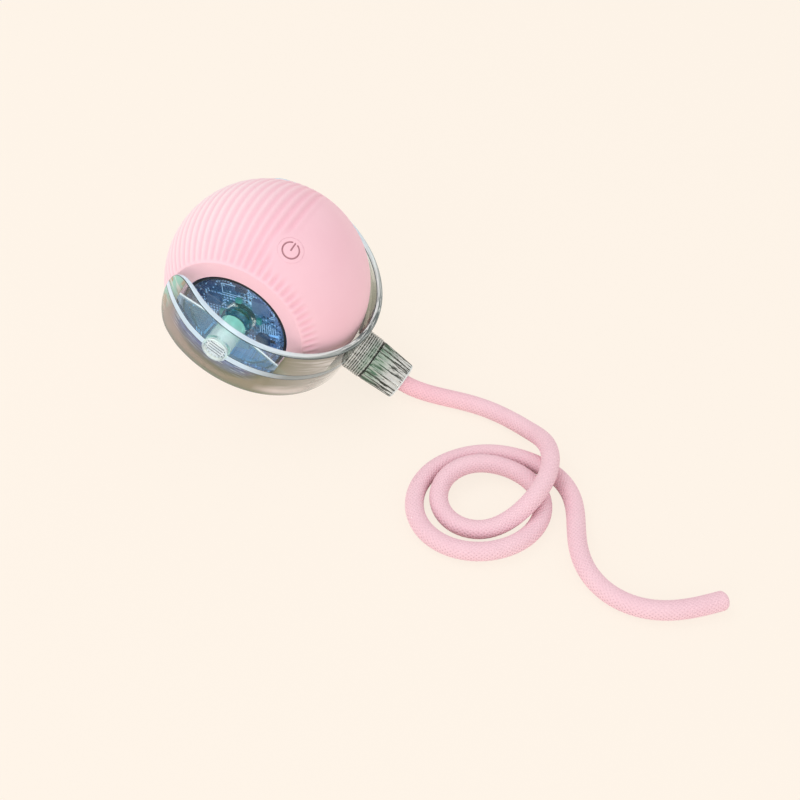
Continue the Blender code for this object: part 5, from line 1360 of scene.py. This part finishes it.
def board_look(name, dark_share):
    """Blue solder mask over glass cloth, navy to the upper left, with painted light: teal near
    the lamps and a glow over all of it.
    """
    material, tree, shader = new_material(name, 0.42)
    where = object_place(tree)
    right, _, up = add(tree, "ShaderNodeSeparateXYZ", {0: where}).outputs
    up = calc(tree, 'SUBTRACT', up, float(CENTRE[2]))
    reach = calc(tree, 'SQRT', calc(tree, 'ADD', calc(tree, 'POWER', right, 2.0),
                                    calc(tree, 'POWER', up, 2.0)))
    lit = ramp(tree, reach, 11.0 * MM, 4.0 * MM)
    dark = ramp(tree, calc(tree, 'SUBTRACT', right, up), -1.0 * MM, -9.5 * MM)
    grain = grain_at(tree, 520.0, 2600.0)
    flat = add(tree, "ShaderNodeMapping", {
        "Vector": where, "Rotation": (math.pi / 2, 0.0, 0.0), "Scale": (1000.0, 1000.0, 1000.0)})
    weave = add(tree, "ShaderNodeTexBrick", {
        "Vector": flat.outputs[0], "Color1": srgb(120, 154, 202), "Color2": srgb(84, 122, 176),
        "Mortar": srgb(48, 80, 138), "Scale": 1.1, "Mortar Size": 0.06, "Brick Width": 0.9,
        "Row Height": 0.45})
    colour = lay(tree, weave.outputs["Color"], srgb(30, 34, 66), dark, dark_share)
    # painted light: teal laid near the lamps in the middle of the board
    colour = lay(tree, colour, srgb(24, 100, 120), lit, 0.7)
    cells = add(tree, "ShaderNodeTexVoronoi", {
        "Vector": flat.outputs[0], "Scale": 1.25, "Randomness": 0.75}, distance='CHEBYCHEV',
        voronoi_dimensions='2D')
    pad = ramp(tree, cells.outputs["Distance"], 0.34, 0.26)
    kind = add(tree, "ShaderNodeSeparateColor", {0: cells.outputs["Color"]}).outputs[0]
    colour = lay(tree, colour, srgb(20, 34, 70), pad, ramp(tree, kind, 0.5, 0.4))
    colour = lay(tree, colour, srgb(150, 190, 226), pad, ramp(tree, kind, 0.7, 0.8))
    colour = lay(tree, colour, srgb(40, 74, 134), grain["Patches"], 0.4)
    tree.links.new(colour, shader.inputs["Base Color"])
    # painted light: the board glows a little in its own colours
    tree.links.new(colour, shader.inputs["Emission Color"])
    shader.inputs["Emission Strength"].default_value = 0.45
    bump(tree, shader, grain["Grain"], 0.00002)
    return material


board_finish = board_look("blue_board", 0.8)
shield_finish = board_look("blue_shield", 1.0)
print("board finishes:", board_finish.name, shield_finish.name)

# %% Finishes of the carried-over nodes
NAVY, NAVY_2 = srgb(34, 42, 70), srgb(46, 56, 88)
GREY, GREY_2 = srgb(92, 97, 104), srgb(74, 79, 86)
STEEL, STEEL_2 = srgb(196, 200, 206), srgb(160, 166, 174)
BRASS, BRASS_2 = srgb(206, 170, 96), srgb(178, 140, 70)
CREAM, CREAM_2 = srgb(236, 229, 210), srgb(222, 212, 188)
BLACK, BLACK_2 = srgb(26, 28, 32), srgb(42, 45, 52)
# name start: colour, second colour, roughness, metalness, patch scale
FINISHES = (
    ("front_shell", NAVY, NAVY_2, 0.4, 0.0, 150.0), ("rear_shell", NAVY, NAVY_2, 0.4, 0.0, 150.0),
    ("front_pivot_bush", BRASS, BRASS_2, 0.28, 1.0, 600.0),
    ("rear_pivot_bush", BRASS, BRASS_2, 0.28, 1.0, 600.0),
    ("tail_ferrule", srgb(206, 214, 206), srgb(176, 186, 178), 0.35, 0.4, 600.0),
    ("chassis_plate", GREY, GREY_2, 0.5, 0.0, 180.0),
    ("chassis_screw", STEEL, STEEL_2, 0.3, 1.0, 900.0),
    ("board_pillar", GREY, GREY_2, 0.5, 0.0, 300.0),
    ("button_post", GREY, GREY_2, 0.5, 0.0, 300.0),
    ("button_switch", BLACK, BLACK_2, 0.45, 0.0, 700.0),
    ("battery", srgb(205, 208, 212), srgb(176, 180, 188), 0.35, 0.6, 250.0),
    ("charging_socket", STEEL, STEEL_2, 0.3, 1.0, 500.0),
    ("drive_motor", STEEL, STEEL_2, 0.32, 1.0, 260.0),
    ("motor_end_cap", CREAM, CREAM_2, 0.45, 0.0, 400.0),
    ("motor_pinion", BRASS, BRASS_2, 0.3, 1.0, 900.0),
    ("idler_gear", CREAM, CREAM_2, 0.42, 0.0, 400.0),
    ("output_gear", CREAM, CREAM_2, 0.42, 0.0, 400.0),
    ("idler_pin", STEEL, STEEL_2, 0.25, 1.0, 800.0),
    ("swing_weight", srgb(150, 152, 158), srgb(120, 122, 130), 0.45, 0.9, 300.0),
    ("weight_axle", STEEL, STEEL_2, 0.25, 1.0, 800.0),
    ("axle_clip", srgb(70, 72, 78), srgb(54, 56, 62), 0.35, 0.9, 800.0),
    ("control_chip", srgb(74, 104, 154), srgb(96, 130, 182), 0.5, 0.0, 900.0),
    ("motor_driver_chip", srgb(74, 104, 154), srgb(96, 130, 182), 0.5, 0.0, 900.0),
    ("motion_sensor", srgb(72, 98, 146), srgb(92, 120, 168), 0.45, 0.0, 900.0),
    ("supply_coil", srgb(96, 116, 150), srgb(76, 96, 132), 0.6, 0.0, 900.0),
    ("timing_crystal", srgb(34, 46, 84), srgb(48, 62, 104), 0.3, 0.2, 900.0),
    ("battery_plug", srgb(120, 150, 190), srgb(96, 128, 172), 0.45, 0.0, 600.0),
)
dressed = set()


def dress(start, finish):
    """Gives the finish to every node whose name starts so. A later call wins."""
    for node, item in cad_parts.items():
        if node.startswith(start):
            item.data.materials.clear()
            item.data.materials.append(finish)
            dressed.add(node)


for start, colour, second, rough, metal, patch in FINISHES:
    dress(start, grained(start + "_finish", colour, second, rough, metal, patch=patch)[0])
lamp_finish, _, shader = grained("teal_lamp", srgb(84, 178, 178), srgb(50, 140, 146), 0.2,
                                 patch=800.0)
light_up(shader, srgb(70, 210, 190), 0.12)
for start, finish in (("circuit_board", board_finish), ("button_board", board_finish),
                      ("light_shield", shield_finish), ("lamp_", lamp_finish)):
    dress(start, finish)
print("dressed nodes: %d of %d" % (len(dressed), len(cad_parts)))

# %% [markdown]
# ## Studio
# A cream floor, three large soft lamps and an even surround. The floor shows mostly its
# own colour to the camera, so shadows stay as faint as in a bright tent. What the camera
# sees of the surround has the floor's colour, and what lights the toy is nearly white.

# %% Floor
CREAM_FLOOR = srgb(254, 244, 232)
FLOOR_REACH, FLOOR_GLOW = 4.0, 0.88


def seen_share(tree):
    """1 for what the camera sees, also mirrored or through clear plastic, and else 0."""
    path = add(tree, "ShaderNodeLightPath")
    direct = calc(tree, 'ADD', path.outputs["Is Camera Ray"], path.outputs["Is Glossy Ray"])
    whole = calc(tree, 'ADD', direct, path.outputs["Is Transmission Ray"])
    return calc(tree, 'MINIMUM', whole, 1.0)


floor = link("floor", np.array(((-1, -1, 0), (1, -1, 0), (1, 1, 0), (-1, 1, 0))) * FLOOR_REACH,
             [(0, 1, 2, 3)])
floor_finish, tree, shader = new_material("cream_floor", 0.9)
patches = grain_at(tree, 3.0, 300.0)["Patches"]
tree.links.new(lay(tree, CREAM_FLOOR, srgb(250, 238, 224), patches, 0.02),
               shader.inputs["Base Color"])
glow = add(tree, "ShaderNodeEmission", {"Color": CREAM_FLOOR, "Strength": 1.0})
blend_shaders(tree, product(tree, seen_share(tree), FLOOR_GLOW), shader.outputs[0],
              glow.outputs[0])
floor.data.materials.append(floor_finish)
print("floor: %.0f m wide" % (2 * FLOOR_REACH))

# %% Lamps


def lamp(name, place_mm, target_mm, size, power):
    """An area lamp that looks at a target; its axis is minus z."""
    data = bpy.data.lights.new(name, 'AREA')
    data.shape, data.size, data.energy = 'DISK', size, power
    item = bpy.data.objects.new(name, data)
    start, end = np.array(place_mm) * MM, np.array(target_mm) * MM
    axes = frame_towards(start - end, UP_AXIS)
    item.matrix_world = Matrix.Translation(start) @ Matrix(axes).transposed().to_4x4()
    bpy.context.scene.collection.objects.link(item)


lamp("key_lamp", (-300.0, 0.0, 640.0), (20.0, 0.0, 20.0), 0.45, 1.05)
lamp("front_lamp", (-60.0, -640.0, 300.0), (20.0, -10.0, 10.0), 0.5, 1.0)
lamp("side_lamp", (620.0, -240.0, 330.0), (0.0, 0.0, 20.0), 0.5, 0.6)
print("lamps:", [item.name for item in bpy.data.lights])

# %% Surround
world = bpy.data.worlds.new("surround")
bpy.context.scene.world = world
SURROUND = 0.76
world.use_nodes = True
tree = world.node_tree
surround = tree.nodes["Background"]
surround.inputs["Color"].default_value = srgb(252, 250, 250)
surround.inputs["Strength"].default_value = SURROUND
backdrop = add(tree, "ShaderNodeBackground", {"Color": CREAM_FLOOR, "Strength": 1.0})
blend_shaders(tree, seen_share(tree), surround.outputs[0], backdrop.outputs[0], "World Output")
bpy.context.scene.view_settings.view_transform = 'Standard'
print("surround strength %.2f" % SURROUND)
